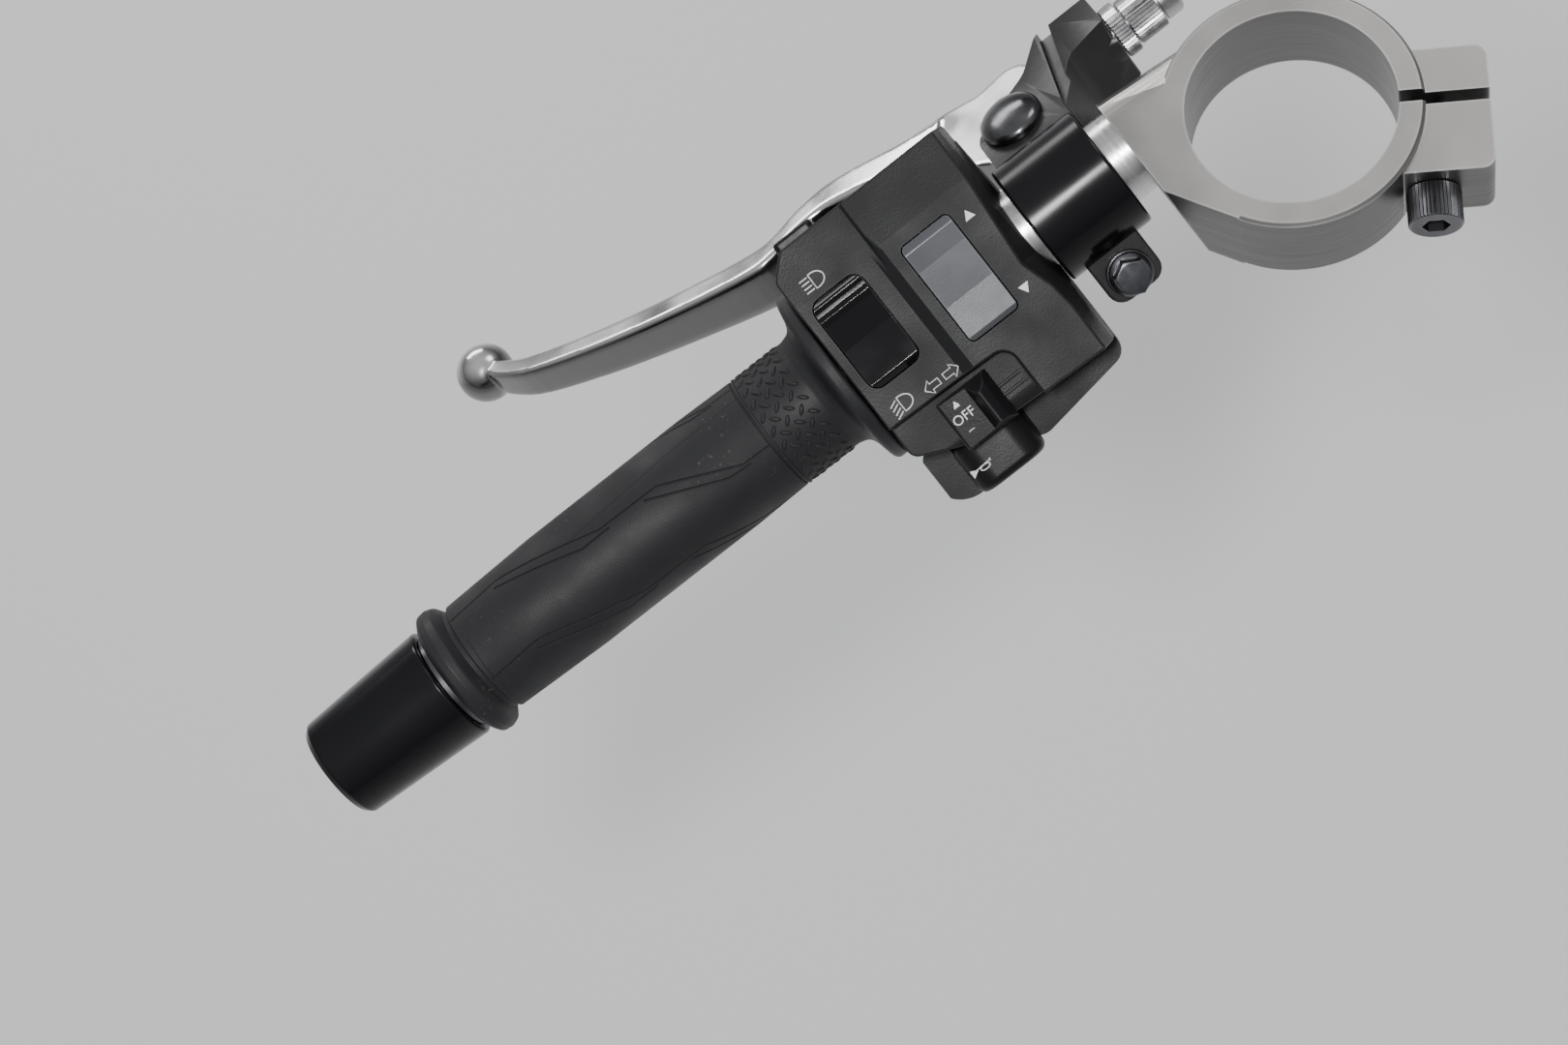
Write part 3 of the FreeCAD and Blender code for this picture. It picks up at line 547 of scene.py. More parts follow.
def groove_tool(path, thickness):
    """A thin round rod along a path of (station, angle) points on the barrel."""
    places = []
    for (s0, a0), (s1, a1) in zip(path, path[1:]):
        steps = max(2, round(abs(a1 - a0) / 3.0), round(abs(s1 - s0) / 6.0))
        for k in range(steps):
            s, a = s0 + (s1 - s0) * k / steps, a0 + (a1 - a0) * k / steps
            places.append(on_barrel(s, a, barrel_radius(s)))
    places.append(on_barrel(*path[-1], barrel_radius(path[-1][0])))
    return round_rod("groove_tool", places, thickness)


ZIGZAG_LINES = [
    [(232.4, 64), (218.0, 60), (214.9, 62), (189.4, 89), (172.0, 90), (152.3, 122), (144.6, 123)],
    [(219.0, 67), (195.4, 93.5), (187.0, 93)],
    [(176.5, 93.5), (156.7, 124), (150.5, 126)]]
ZIGZAG_REPEATS = 5
ZIGZAG_GROOVE, FINE_GROOVE, SEAM_GROOVE = 0.36, 0.16, 0.10
rods = []
for k in range(ZIGZAG_REPEATS):
    for path in ZIGZAG_LINES:
        turned_path = [(s, a + 360 * k / ZIGZAG_REPEATS) for s, a in path]
        rods.append(groove_tool(turned_path, ZIGZAG_GROOVE))
rods.append(groove_tool([(231.0, 92), (231.6, 134)], FINE_GROOVE))
rods.append(groove_tool([(197.0, 79), (167.0, 70.5), (144.6, 68)], SEAM_GROOVE))
for rod in rods:
    combine(grip, rod)
print("grooves cut:", len(rods))

# %% [markdown]
# The band's lozenges are raised by less than half a millimetre. One is modelled from a ball
# pressed flat, and the copies alternate between two directions from column to column.

# %% Raise the lozenges on the band
LOZENGE_COLUMNS = 6
LOZENGES_ROUND = 23
COLUMN_PITCH = 2.12
FIRST_COLUMN = 141.7
LOZENGE_SIZE = (1.5, 0.58, 0.42)
LOZENGE_SUNK = 0.04
bpy.ops.object.select_all(action="DESELECT")
bpy.ops.mesh.primitive_ico_sphere_add(subdivisions=2, radius=MM, location=(0, 0, 0))
lozenge = bpy.context.object
bpy.ops.object.mode_set(mode="EDIT")
bpy.ops.mesh.select_all(action="SELECT")
bpy.ops.transform.resize(value=LOZENGE_SIZE)
bpy.ops.object.mode_set(mode="OBJECT")
copies = []
for column in range(LOZENGE_COLUMNS):
    lean = 48 if column % 2 == 0 else -42
    for k in range(LOZENGES_ROUND):
        angle = 100 + 360 / LOZENGES_ROUND * (k + 0.5 * (column % 2))
        station = FIRST_COLUMN - COLUMN_PITCH * column
        copy = lozenge.copy()
        copy.data = lozenge.data.copy()
        bpy.context.scene.collection.objects.link(copy)
        upward = Matrix.Rotation(math.radians(angle - 90), 4, "X")
        out = Matrix.Translation((-station * MM, 0, (BAND_R - LOZENGE_SUNK) * MM))
        copy.matrix_world = upward @ out @ Matrix.Rotation(math.radians(lean), 4, "Z")
        copies.append(settle(copy))
bpy.data.objects.remove(lozenge, do_unlink=True)
select_only(*copies, grip)
bpy.ops.object.join()
smooth(grip, 40)
onto_bar(grip)
print("lozenges:", len(copies))

# %% Finish the grip
RUBBER_BLACK, RUBBER_DUST = (0.016, 0.016, 0.0175), (0.055, 0.055, 0.056)
grip_rubber, tree, shader = new_finish("grip_rubber", RUBBER_BLACK, 0.55)
shader.inputs["Specular IOR Level"].default_value = 0.32
speck = clouds(tree, pattern_place(tree), 2600.0, 2.0)
hand = clouds(tree, pattern_place(tree), 55.0, 4.0)
roughness_from(tree, shader, between(tree, hand, 0.46, 0.66))
relief(tree, shader, [(speck, 0.05)])
specks = clouds(tree, pattern_place(tree), 900.0, 1.0)
dust = reckon(tree, "MULTIPLY", between(tree, specks, 0, 1, 0.68, 0.76), between(tree, hand, 0, 1, 0.5, 0.7))
two_tones(tree, shader, dust, RUBBER_BLACK, RUBBER_DUST)
deliver(grip, "bar_unit", grip_rubber, "grip_rubber", "grip")

# %% [markdown]
# ## Bar-end weight
# A tapered steel weight damps the bar's tingle. It is painted gloss black, stands off the
# grip on a narrower dark ring, and a screw in its counterbore draws it onto the bar.

# %% Turn the weight, its ring and its screw
WEIGHT_INNER, WEIGHT_OUTER = 243.4, 279.6
weight_rows = [(WEIGHT_INNER, 3.05), (WEIGHT_INNER, 15.2, 0.7), (278.0, 13.5, 1.2),
               (WEIGHT_OUTER, 12.1, 0.8), (WEIGHT_OUTER, 5.7, 0.4), (273.2, 5.6), (273.2, 3.05)]
weight = smooth(lathe("bar_end_weight_painted", weight_rows, sides=128))
onto_bar(weight)
gloss_black = worn_finish("gloss_black_paint", (0.005, 0.005, 0.006), (0.025, 0.025, 0.026),
                          (0.12, 0.14, 0.24), 30.0, (160.0, 1.0), 0.008, specular=0.27)
deliver(weight, "bar_unit", gloss_black, "weight_black", "bar_end_weight")

spacer_rows = [(241.55, 3.05), (241.55, 13.2, 0.3), (243.35, 13.2, 0.3), (243.35, 3.05)]
spacer = onto_bar(smooth(lathe("weight_stand_off_ring", spacer_rows)))
dark_steel, tree, shader = new_finish("dark_plated_steel", (0.12, 0.12, 0.13), 0.32, 1.0)
plating = clouds(tree, pattern_place(tree), 220.0, 4.0)
roughness_from(tree, shader, between(tree, plating, 0.24, 0.42))
relief(tree, shader, [(plating, 0.02)])
two_tones(tree, shader, edge_wear(tree, 0.4), (0.12, 0.12, 0.13), (0.30, 0.30, 0.31))
deliver(spacer, "bar_unit", dark_steel, "dark_steel", "bar_end_spacer")


def socket_screw(name, shank_start, seat, top, shank_r, head_r, across, depth):
    """A socket-head screw along the bar, seen from its outer end."""
    rows = [(shank_start, 0), (shank_start, shank_r, 0.3), (seat, shank_r), (seat, head_r, 0.2),
            (top, head_r, 0.6), (top, 0)]
    screw = lathe(name, rows, sides=64)
    return cut(screw, prism("hex_key_hole", hexagon(across), top - depth, top + 2, "bar"))


end_screw = socket_screw("bar_end_screw_head", 229.4, 273.25, 278.45, 3.0, 5.5, 5.0, 3.0)
onto_bar(soften(end_screw, 0.15, 2))
deliver(end_screw, "bar_unit", dark_steel, "dark_steel", "bar_end_screw")

# %% [markdown]
# ## Switch housing
# Two moulded shells clasp the bar. The upper one has a raised inner level and a lower outer
# one, a brow that falls away to the front, pockets for two rockers, and a tray behind for
# the turn-signal slider. Large forms are cut first and rounded, and pockets follow, so that
# their edges stay crisper than the shell's.

# %% Cut the two levels and the brow
POD_INNER, POD_OUTER = 64.4, 119.5
POD_TOP, LEVEL_TOP, LEVEL_STATION = 22.0, 20.4, 94.5
PARTING = 0.05
ABOVE = 31.0
STEP_FOOT, STEP_SLOPE = 97.6, 2.0
BROW_START, BROW_END = 19, 37.5
INNER_BROW_SLOPE, OUTER_BROW_SLOPE = 0.184, 0.13


def brow_cutter(top, low, slope, near, far):
    """What falls away in front of one level. Its line is carried on above the shell."""
    rows = [(BROW_START, top), (BROW_END, low), (BROW_END, ABOVE),
            (BROW_START - (ABOVE - top) / slope, ABOVE)]
    return prism("brow", rows, near, far, "bar")


upper_rows = [(60, 32.5), (60, -33), (106.5, -31.5, 6), (POD_OUTER, -25.5, 3), (POD_OUTER, 27, 3),
              (114, 32.5, 3)]
upper = prism("switch_housing_upper_shell", upper_rows, PARTING, POD_TOP)
level_rows = [(STEP_FOOT - STEP_SLOPE * (ABOVE - LEVEL_TOP), ABOVE), (STEP_FOOT, LEVEL_TOP),
              (126, LEVEL_TOP), (126, ABOVE)]
cut(upper, prism("level_cut", level_rows, -80, 80, "reach"),
    brow_cutter(POD_TOP, 18.6, INNER_BROW_SLOPE, 40, LEVEL_STATION + 1.5),
    brow_cutter(LEVEL_TOP, 18.0, OUTER_BROW_SLOPE, LEVEL_STATION + 1.5, 126))
print("upper shell drawn, faces:", len(upper.data.polygons))

# %% [markdown]
# The shell's inner wall leans, and its lean changes along the reach. So its cutter is a long
# prism with a ring of corners at each reach, and each ring is pulled to its own lean.

# %% Lean the inner wall
WALL_ROOM = 14


def lean_corners(foot, middle, top):
    """What the leaning inner wall takes away at one reach, as (station, height) corners."""
    beyond = top + (top - middle) * (ABOVE - POD_TOP) / (POD_TOP / 2)
    rows = [(foot, -1), (middle, POD_TOP / 2), (beyond, ABOVE), (-WALL_ROOM, ABOVE), (-WALL_ROOM, -1)]
    return [(POD_INNER + s, h) for s, h in rows]


def pick_corner(piece, place):
    """From edit mode, select the one vertex that lies at a place."""
    bpy.ops.mesh.select_mode(type="VERT")
    bpy.ops.mesh.select_all(action="DESELECT")
    bpy.ops.object.mode_set(mode="OBJECT")
    nearest = min(piece.data.vertices, key=lambda vertex: (vertex.co - Vector(place)).length)
    nearest.select = True
    bpy.ops.object.mode_set(mode="EDIT")


def lean_cutter(rows):
    """A long prism, ringed at each reach, whose rings are then pulled to their own corners."""
    first = lean_corners(*rows[0][1])
    cutter = prism("lean_cutter", first, rows[0][0], rows[-1][0], "reach")
    bpy.ops.object.mode_set(mode="EDIT")
    for reach, _ in rows[1:-1]:
        bpy.ops.mesh.select_all(action="SELECT")
        bpy.ops.mesh.bisect(plane_co=(0, reach * MM, 0), plane_no=(0, 1, 0))
    for reach, offsets in rows[1:]:
        for (s0, height), (s1, _) in zip(first, lean_corners(*offsets)):
            pick_corner(cutter, (-s0 * MM, reach * MM, height * MM))
            bpy.ops.transform.translate(value=((s0 - s1) * MM, 0, 0))
    bpy.ops.mesh.select_all(action="SELECT")
    bpy.ops.mesh.quads_convert_to_tris()
    bpy.ops.object.mode_set(mode="OBJECT")
    return cutter


# reach, then how far the wall stands in from the inner side at its foot, middle and top
lean_rows = [(36.5, (1.55, 2.7, 4.4)), (-5, (0, 2.3, 6.3)), (-20, (0, 0.5, 3)), (-60, (0, 0.5, 3))]
cut(upper, lean_cutter(lean_rows))
print("inner wall leans at", len(lean_rows), "reaches")

# %% Cut the tray and the apron behind it
TRAY_INNER = 85.3
TRAY_FLOOR = LEVEL_TOP - 4.0
tray_rows = [(TRAY_INNER, -17.8, 4), (TRAY_INNER, -80), (130, -80), (130, -16.6)]
apron_rows = [(-28.5, TRAY_FLOOR), (-80, TRAY_FLOOR - 26), (-80, ABOVE), (-28.5, ABOVE)]
cut(upper, prism("tray", tray_rows, TRAY_FLOOR, ABOVE), prism("apron", apron_rows, TRAY_INNER, 130, "bar"))
weld(upper, 0.2)
soften(upper, 0.6, 4, clamped=False)
print("upper shell rounded, faces:", len(upper.data.polygons))

# %% [markdown]
# Each control moves in a pocket that is a running gap wider than the control on every side.
# The rockers' sizes are given first, as station, reach, width and length.

# %% Cut the pockets and the bore


def rectangle(station, reach, width, length, radius):
    """Corners of a rounded rectangle round a (station, reach)."""
    a, b = width / 2, length / 2
    return [(station - a, reach - b, radius), (station - a, reach + b, radius),
            (station + a, reach + b, radius), (station + a, reach - b, radius)]


SELECT = (84.25, 1.4, 13.9, 27.6)
DIMMER = (109.35, 5.1, 14.2, 25.2)
SELECT_CORNER, DIMMER_CORNER = 1.4, 2.8
RUNNING_GAP = 0.4
POCKET_DEPTH, FLOOR_GAP = 5, 0.05


def pocket(control, corner, floor):
    """The cutter for a rocker's pocket."""
    station, reach, width, length = control
    gap = 2 * RUNNING_GAP
    rows = rectangle(station, reach, width + gap, length + gap, corner + RUNNING_GAP)
    return prism("pocket", rows, floor, ABOVE)


def button_body(name, shape, near, far, grow=0.0):
    """A rounded body that stands out of the housing to the front or the rear."""
    station, level, width, height, corner = shape
    rows = rectangle(station, level, width + 2 * grow, height + 2 * grow, corner)
    return prism(name, rows, near, far, "reach", 8)


# station, level, width, height and corner radius
HORN = (102.6, 3.5, 19.5, 15, 6)
TRIGGER = (109.5, 10, 11, 10, 1.5)
bore = disc("bar_bore", 30, 150, BAR_BORE)
lower_bore = bore.copy()
lower_bore.data = bore.data.copy()
bpy.context.scene.collection.objects.link(lower_bore)
cut(upper, pocket(SELECT, SELECT_CORNER, POD_TOP - POCKET_DEPTH),
    pocket(DIMMER, DIMMER_CORNER, LEVEL_TOP - POCKET_DEPTH), bore,
    button_body("horn_pocket", HORN, -43.9, -29.5, RUNNING_GAP),
    button_body("trigger_pocket", TRIGGER, 26.1, 40, RUNNING_GAP))
soften(upper, 0.25, 2)
for reach in (-24.6, -27.0):
    rib_rows = [(reach - 0.45, TRAY_FLOOR - 0.5), (reach - 0.45, TRAY_FLOOR + 0.7, 0.3),
                (reach + 0.45, TRAY_FLOOR + 0.7, 0.3), (reach + 0.45, TRAY_FLOOR - 0.5)]
    combine(upper, prism("tray_rib", rib_rows, 86.6, 94.0, "bar", 3), "UNION")
smooth(upper, creased=True)
onto_bar(upper, POD_ROLL)
print("upper shell done, faces:", len(upper.data.polygons))

# %% [markdown]
# The lower shell hangs under the bar. Its plan and its side profile are each drawn once, and
# what both hold is the shell; a round boss is added below the horn button. All of it is drawn
# a little too tall and then cut off in one plane, where the two shells part.

# %% Mould the lower shell
lower_rows = [(65.8, 32.5, 1), (POD_INNER, -5), (POD_INNER, -37.5, 4), (91.5, -41.5, 5),
              (108.5, -33, 6), (POD_OUTER, -25.5, 3), (POD_OUTER, 27, 3), (114, 32.5, 3)]
belly_rows = [(-46, 2), (-44.5, -PARTING), (-38.5, -9, 5), (-24, -17, 6), (2, -17, 3), (9.5, -14.5, 3),
              (27.4, -1.4, 1), (27.4, 2)]
lower = prism("switch_housing_lower_shell", lower_rows, -18, 3)
combine(lower, prism("belly", belly_rows, 56, 121, "bar", 8), "INTERSECT")
boss = lathe("horn_boss", [(1.5, 0), (1.5, 9), (-13, 9, 2.5), (-13, 0)], upright=(112.4, -34))
combine(lower, boss, "UNION")
parting_rows = [(40, -80), (40, 80), (150, 80), (150, -80)]
outer_rows = [(POD_OUTER, -70), (POD_OUTER, 40), (140, 40), (140, -70)]
cut(lower, prism("parting_cut", parting_rows, -PARTING, 20), lower_bore,
    prism("outer_trim", outer_rows, -40, 20),
    button_body("horn_pocket", HORN, -43.9, -29.5, RUNNING_GAP))
onto_bar(soften(lower, 0.6, 4, creased=True), POD_ROLL)
print("lower shell done, faces:", len(lower.data.polygons))

# %% Finish the housing
housing_plastic = worn_finish("moulded_housing_plastic", (0.013, 0.0132, 0.0142), (0.045, 0.045, 0.048),
                              (0.48, 0.40, 0.56), 45.0, (1900.0, 3.0), 0.07, specular=0.24)
deliver(upper, "bar_unit", housing_plastic, "housing_plastic", "switch_housing_upper")
deliver(lower, "bar_unit", housing_plastic, "housing_plastic", "switch_housing_lower")

# %% [markdown]
# ## Rockers, slider, horn and trigger
# The thumb reads these by touch. The grey rocker has three facets, the black one has two ribs at its front
# end, and the slider carries a wedge to push. Each rocker is cut from its side profile, trimmed by the plan
# of its pocket, and rounded.

# %% Shape the rockers


def rocker(name, control, corner, profile, rounding):
    """A rocker from its side profile of (reach, height) corners."""
    station, _, width, _ = control
    body = prism(name, profile, station - width / 2, station + width / 2, "bar")
    combine(body, prism("plan", rectangle(*control, corner), 0, ABOVE), "INTERSECT")
    return soften(body, rounding, 3, 20, creased=True)


select_front, select_rear = 15.2, -12.4
select_foot = POD_TOP - POCKET_DEPTH + FLOOR_GAP
select_profile = [(select_front, select_foot), (select_front, 22.4), (select_front - 1.8, 23.9, 1.2),
                  (select_front - 7.2, 23.3), (select_rear + 10, 22.7), (select_rear + 1.2, 24.0, 0.5),
                  (select_rear, 22.8), (select_rear, select_foot)]
select_rocker = rocker("grey_select_rocker", SELECT, SELECT_CORNER, select_profile, 0.35)
onto_bar(select_rocker, POD_ROLL)
dimmer_front, dimmer_rear = 17.7, -7.5
dimmer_foot = LEVEL_TOP - POCKET_DEPTH + FLOOR_GAP
dimmer_profile = [(dimmer_front, dimmer_foot), (dimmer_front, 21.4), (dimmer_front - 1.4, 23.2, 0.8),
                  (dimmer_front - 2.6, 22.3), (dimmer_front - 3.6, 22.3), (dimmer_front - 4.8, 23.1, 0.5),
                  (dimmer_front - 6.4, 22.0), (4.1, 21.1), (dimmer_rear + 1.4, 22.6, 0.8),
                  (dimmer_rear, 21.2), (dimmer_rear, dimmer_foot)]
dimmer_rocker = rocker("black_dimmer_rocker", DIMMER, DIMMER_CORNER, dimmer_profile, 0.3)
onto_bar(dimmer_rocker, POD_ROLL)
print("rockers, faces:", len(select_rocker.data.polygons), len(dimmer_rocker.data.polygons))

# %% Shape the slider, the horn button and the trigger
SLIDER_TOP, SLIDER_RIDGE, SLIDER_SLOPE = 23.6, 99.3, 0.075
SLIDER_FOOT = TRAY_FLOOR + FLOOR_GAP
slider_profile = [(107.3, SLIDER_FOOT), (107.3, 23.0, 0.8), (SLIDER_RIDGE, SLIDER_TOP), (97.1, 28.2, 0.8),
                  (94.7, 25.6, 0.8), (93.1, SLIDER_FOOT + 2), (93.1, SLIDER_FOOT)]
slider = prism("turn_signal_slider", slider_profile, -32.6, -19.0, "reach")
nose = [(-18, 30.2), (-24, 30.2), (-19, 22.6), (-18, 22.6)]
tail = [(-33.6, 15.45), (-33.6, 33.2), (-30.1, 33.2), (-32.6, 17.6)]
cut(slider, prism("nose", nose, 88, 112, "bar"), prism("tail", tail, 88, 112, "bar"))
onto_bar(soften(slider, 0.4, 3, creased=True), POD_ROLL)
horn = button_body("horn_button_cap", HORN, -43.5, -29.9)
onto_bar(soften(horn, 2.2, 5, 50), POD_ROLL)
trigger = button_body("passing_light_trigger", TRIGGER, 26.5, 34.6)
onto_bar(soften(trigger, 1.0, 4, 50), POD_ROLL)
print("slider, faces:", len(slider.data.polygons))

# %% Finish the controls
rocker_grey = worn_finish("satin_grey_rocker", (0.085, 0.088, 0.098), (0.19, 0.195, 0.21),
                          (0.30, 0.24, 0.38), 70.0, (2400.0, 2.0), 0.012, specular=0.3)
rocker_black = worn_finish("gloss_black_rocker", (0.006, 0.006, 0.007), (0.03, 0.03, 0.031),
                           (0.07, 0.07, 0.12), 90.0, (60.0, 1.0), 0.006, specular=0.22, wear=0.4)
control_black = worn_finish("satin_black_control", (0.008, 0.008, 0.009), (0.03, 0.03, 0.031),
                            (0.34, 0.28, 0.42), 90.0, (1900.0, 2.0), 0.025, specular=0.22)
deliver(select_rocker, "bar_unit", rocker_grey, "rocker_grey", "select_rocker")
deliver(dimmer_rocker, "bar_unit", rocker_black, "rocker_black", "dimmer_rocker")
deliver(slider, "bar_unit", control_black, "rocker_black", "turn_slider")
deliver(horn, "bar_unit", control_black, "rocker_black", "horn_button")
deliver(trigger, "bar_unit", control_black, "rocker_black", "pass_trigger")

# %% [markdown]
# ## Clutch lever
# The lever is forged and polished: a flat root with a hub and a cable arm, a blade that bends
# round in front of the grip, and a ball that ends it safely. The blade is drawn section by
# section along the line from the pivot to the ball; the parts are then fused and relaxed, as
# polishing does to a forging's corners.

# %% Sweep the blade
PIVOT = (52.3, 25.2)
BALL_OUT, BALL_FORWARD, BALL_R = 149.6, 74.8, 7.8
BLADE_LENGTH = math.hypot(BALL_OUT, BALL_FORWARD)
# share of the way to the ball, offset in front of the line, thickness, half height
blade_rows = [(0.150, 12.6, 14.0, 5.6), (0.215, 9.4, 12.0, 6.6), (0.290, 7.4, 10.6, 7.2),
              (0.345, 5.2, 9.6, 7.3), (0.394, 0.0, 9.0, 7.3), (0.426, -5.0, 8.8, 7.2),
              (0.470, -8.2, 8.6, 7.0), (0.600, -10.2, 8.0, 6.2), (0.741, -10.9, 7.2, 5.6),
              (0.880, -9.4, 6.6, 5.0), (0.945, -6.0, 6.2, 4.6), (0.985, -2.0, 6.0, 4.4)]


def curve_through(before, here, there, after, share):
    """The value at a share of the way from here to there, on a curve through all four."""
    bend = 2 * before - 5 * here + 4 * there - after
    twist = 3 * (here - there) + after - before
    return here + 0.5 * share * (there - before + share * (bend + share * twist))


def between_rows(rows, steps):
    """Rows with smooth steps put in between them."""
    filled = []
    last = len(rows) - 1
    for k in range(last):
        four = rows[max(k - 1, 0)], rows[k], rows[k + 1], rows[min(k + 2, last)]
        for j in range(steps):
            filled.append(tuple(curve_through(*values, j / steps) for values in zip(*four)))
    return filled + [rows[-1]]


def sweep_blade(name, rows, corner):
    """Draw the first section, then pull it from row to row, resized to each one."""
    share, offset, thick, half = rows[0]
    section = [(-thick / 2, -half, corner), (thick / 2, -half, corner), (thick / 2, half, corner),
               (-thick / 2, half, corner)]
    x = share * BLADE_LENGTH
    places = [(x * MM, (a - offset) * MM, b * MM) for a, b in arc_corners(section, 6)]
    blade = draw_path(name, places, closed=True)
    bpy.ops.mesh.select_mode(type="FACE")
    for before, after in zip(rows, rows[1:]):
        step = ((after[0] - before[0]) * BLADE_LENGTH * MM, (before[1] - after[1]) * MM, 0)
        bpy.ops.mesh.extrude_region_move(TRANSFORM_OT_translate={"value": step})
        centre = (after[0] * BLADE_LENGTH * MM, -after[1] * MM, 0)
        growth = (1, after[2] / before[2], after[3] / before[3])
        bpy.ops.transform.resize(value=growth, center_override=centre)
    bpy.ops.mesh.select_all(action="SELECT")
    bpy.ops.mesh.normals_make_consistent(inside=False)
    bpy.ops.object.mode_set(mode="OBJECT")
    return blade


lever = sweep_blade("polished_clutch_lever", between_rows(blade_rows, 4), 2.3)
line_turn = Matrix.Rotation(math.atan2(BALL_FORWARD, -BALL_OUT), 4, "Z")
lever.matrix_world = Matrix.Translation((-PIVOT[0] * MM, PIVOT[1] * MM, 0)) @ line_turn
settle(lever)
print("blade swept, faces:", len(lever.data.polygons))

# %% Fuse the root, the hub and the ball
M8_HOLE, M6_HOLE = 4.05, 3.05
LEVER_HALF, HUB_PROUD = 5, 0.01
# corners round the pivot, as stations and reaches counted from it
root_corners = [(-11.2, 13, 3), (-11.2, 25.6, 4), (-6, 27.6, 4), (3, 26.2, 6), (12, 29), (22, 30.4),
                (26, 17), (13, 2, 8), (4, -7.5), (-4, -7.5), (-7.9, 0, 4)]
root_rows = [(PIVOT[0] + out, PIVOT[1] + ahead, *radius) for out, ahead, *radius in root_corners]
combine(lever, prism("lever_root", root_rows, -LEVER_HALF, LEVER_HALF), "UNION")
hub_half = LEVER_HALF + HUB_PROUD
combine(lever, disc("lever_hub", -hub_half, hub_half, 8.3, upright=PIVOT), "UNION")
ball_place = (-(PIVOT[0] + BALL_OUT) * MM, (PIVOT[1] + BALL_FORWARD) * MM, 0)
bpy.ops.object.select_all(action="DESELECT")
bpy.ops.mesh.primitive_uv_sphere_add(segments=64, ring_count=48, radius=BALL_R * MM, location=ball_place)
combine(lever, bpy.context.object, "UNION")
modify(lever, "REMESH", mode="VOXEL", voxel_size=0.45 * MM)
modify(lever, "SMOOTH", factor=0.5, iterations=7)
cut(lever, disc("pivot_hole", -9, 9, M8_HOLE, upright=PIVOT))
onto_bar(smooth(lever, 40), LEVER_ROLL)
print("lever fused, faces:", len(lever.data.polygons))

# %% [markdown]
# The lever's upper face is painted in a bright tone and its sides and underside in a dark one, as painted
# light from above and painted shade below. A value that follows how far the surface looks up mixes the two
# tones.

# %% Polish the lever
polished, tree, shader = new_finish("polished_lever_aluminium", (0.60, 0.60, 0.595), 0.16, 1.0)
swirls = clouds(tree, pattern_place(tree, (0.5, 0.08, 0.08), LEVER_ROLL), 90.0, 4.0)
haze = clouds(tree, pattern_place(tree), 60.0, 3.0)
roughness_from(tree, shader, between(tree, haze, 0.12, 0.24))
relief(tree, shader, [(clouds(tree, pattern_place(tree), 35.0, 1.0), 0.10), (swirls, 0.004)])
lever_up = BAR_TURN @ Matrix.Rotation(math.radians(LEVER_ROLL), 4, "X") @ Vector((0, 0, 1))
facing = tree.nodes.new("ShaderNodeVectorMath")
facing.operation = "DOT_PRODUCT"
facing.inputs[1].default_value = lever_up
shape_normal = tree.nodes.new("ShaderNodeTexCoord")
tree.links.new(shape_normal.outputs["Normal"], facing.inputs[0])
# painted light and shade: faces that look up get the bright tone, the others the dark one
painted_lever_top_light = between(tree, facing.outputs["Value"], 0, 1, 0.45, 0.85)
two_tones(tree, shader, painted_lever_top_light, (0.24, 0.235, 0.23), (0.68, 0.675, 0.67))
deliver(lever, "lever", polished, "lever_polished", "clutch_lever")

# %% [markdown]
# ## Lever perch
# One black casting clamps the bar, carries the lever between two cheeks and ends in an arm
# for the cable. Its ring is painted gloss, and the flat bracket above it is satin. A narrow
# channel lets the cable's end be dropped in.

# %% Turn the perch's ring
PERCH_INNER, PERCH_OUTER = 40.2, 64.0
PERCH_R = 16.3
perch_ring_rows = [(PERCH_INNER, BAR_BORE), (PERCH_INNER, PERCH_R, 0.9), (PERCH_OUTER, PERCH_R, 0.9),
                   (PERCH_OUTER, BAR_BORE)]
perch_ring = smooth(lathe("perch_ring_gloss", perch_ring_rows, sides=128))
onto_bar(perch_ring, LEVER_ROLL)
print("perch ring, faces:", len(perch_ring.data.polygons))

# %% Cast the bracket
CHEEK_TOP = 10.0
ADJUSTER_REACH = 42.5
CABLE_WAY = 2.6


def shift_reach(piece, reach):
    """Move a piece off the bar's axis, to the cable's line in the perch's arm."""
    piece.location = (0, reach * MM, 0)
    return settle(piece)


bracket_rows = [(62.3, 0), (62.3, 28.4, 7), (43.3, 38.7, 9), (35.3, 48.9, 3), (20, 48.9), (20, 36.1, 1),
                (31.5, 33.2, 6), (40.2, 20.3), (40.2, 0)]
bracket = prism("perch_bracket", bracket_rows, -CHEEK_TOP, CHEEK_TOP, steps=8)
combine(bracket, shift_reach(disc("cable_boss", 20, 29, 7.6, sides=64), ADJUSTER_REACH), "UNION")
lever_slot = [(39.6, 16.5), (72, 16.5), (72, 72.5), (39.6, 72.5)]
cable_channel = [(29.8, 54.5), (33.4, 54.5), (40.1, 18.7), (37.1, 18.7)]
cable_rows = [(10, 0), (10, M8_HOLE), (26.5, M8_HOLE), (26.5, CABLE_WAY), (45, CABLE_WAY), (45, 0)]
cable_bore = shift_reach(lathe("cable_bore", cable_rows, sides=32), ADJUSTER_REACH)
cut(bracket, prism("lever_slot", lever_slot, -LEVER_HALF - 0.3, LEVER_HALF + 0.3),
    prism("cable_channel", cable_channel, 7.4, 11), disc("bar_hole", 30, 70, 15.6), cable_bore,
    disc("pivot_bore", -12, 12, M8_HOLE, sides=48, upright=PIVOT))
onto_bar(soften(bracket, 0.8, 4, creased=True), LEVER_ROLL)
print("bracket, faces:", len(bracket.data.polygons))

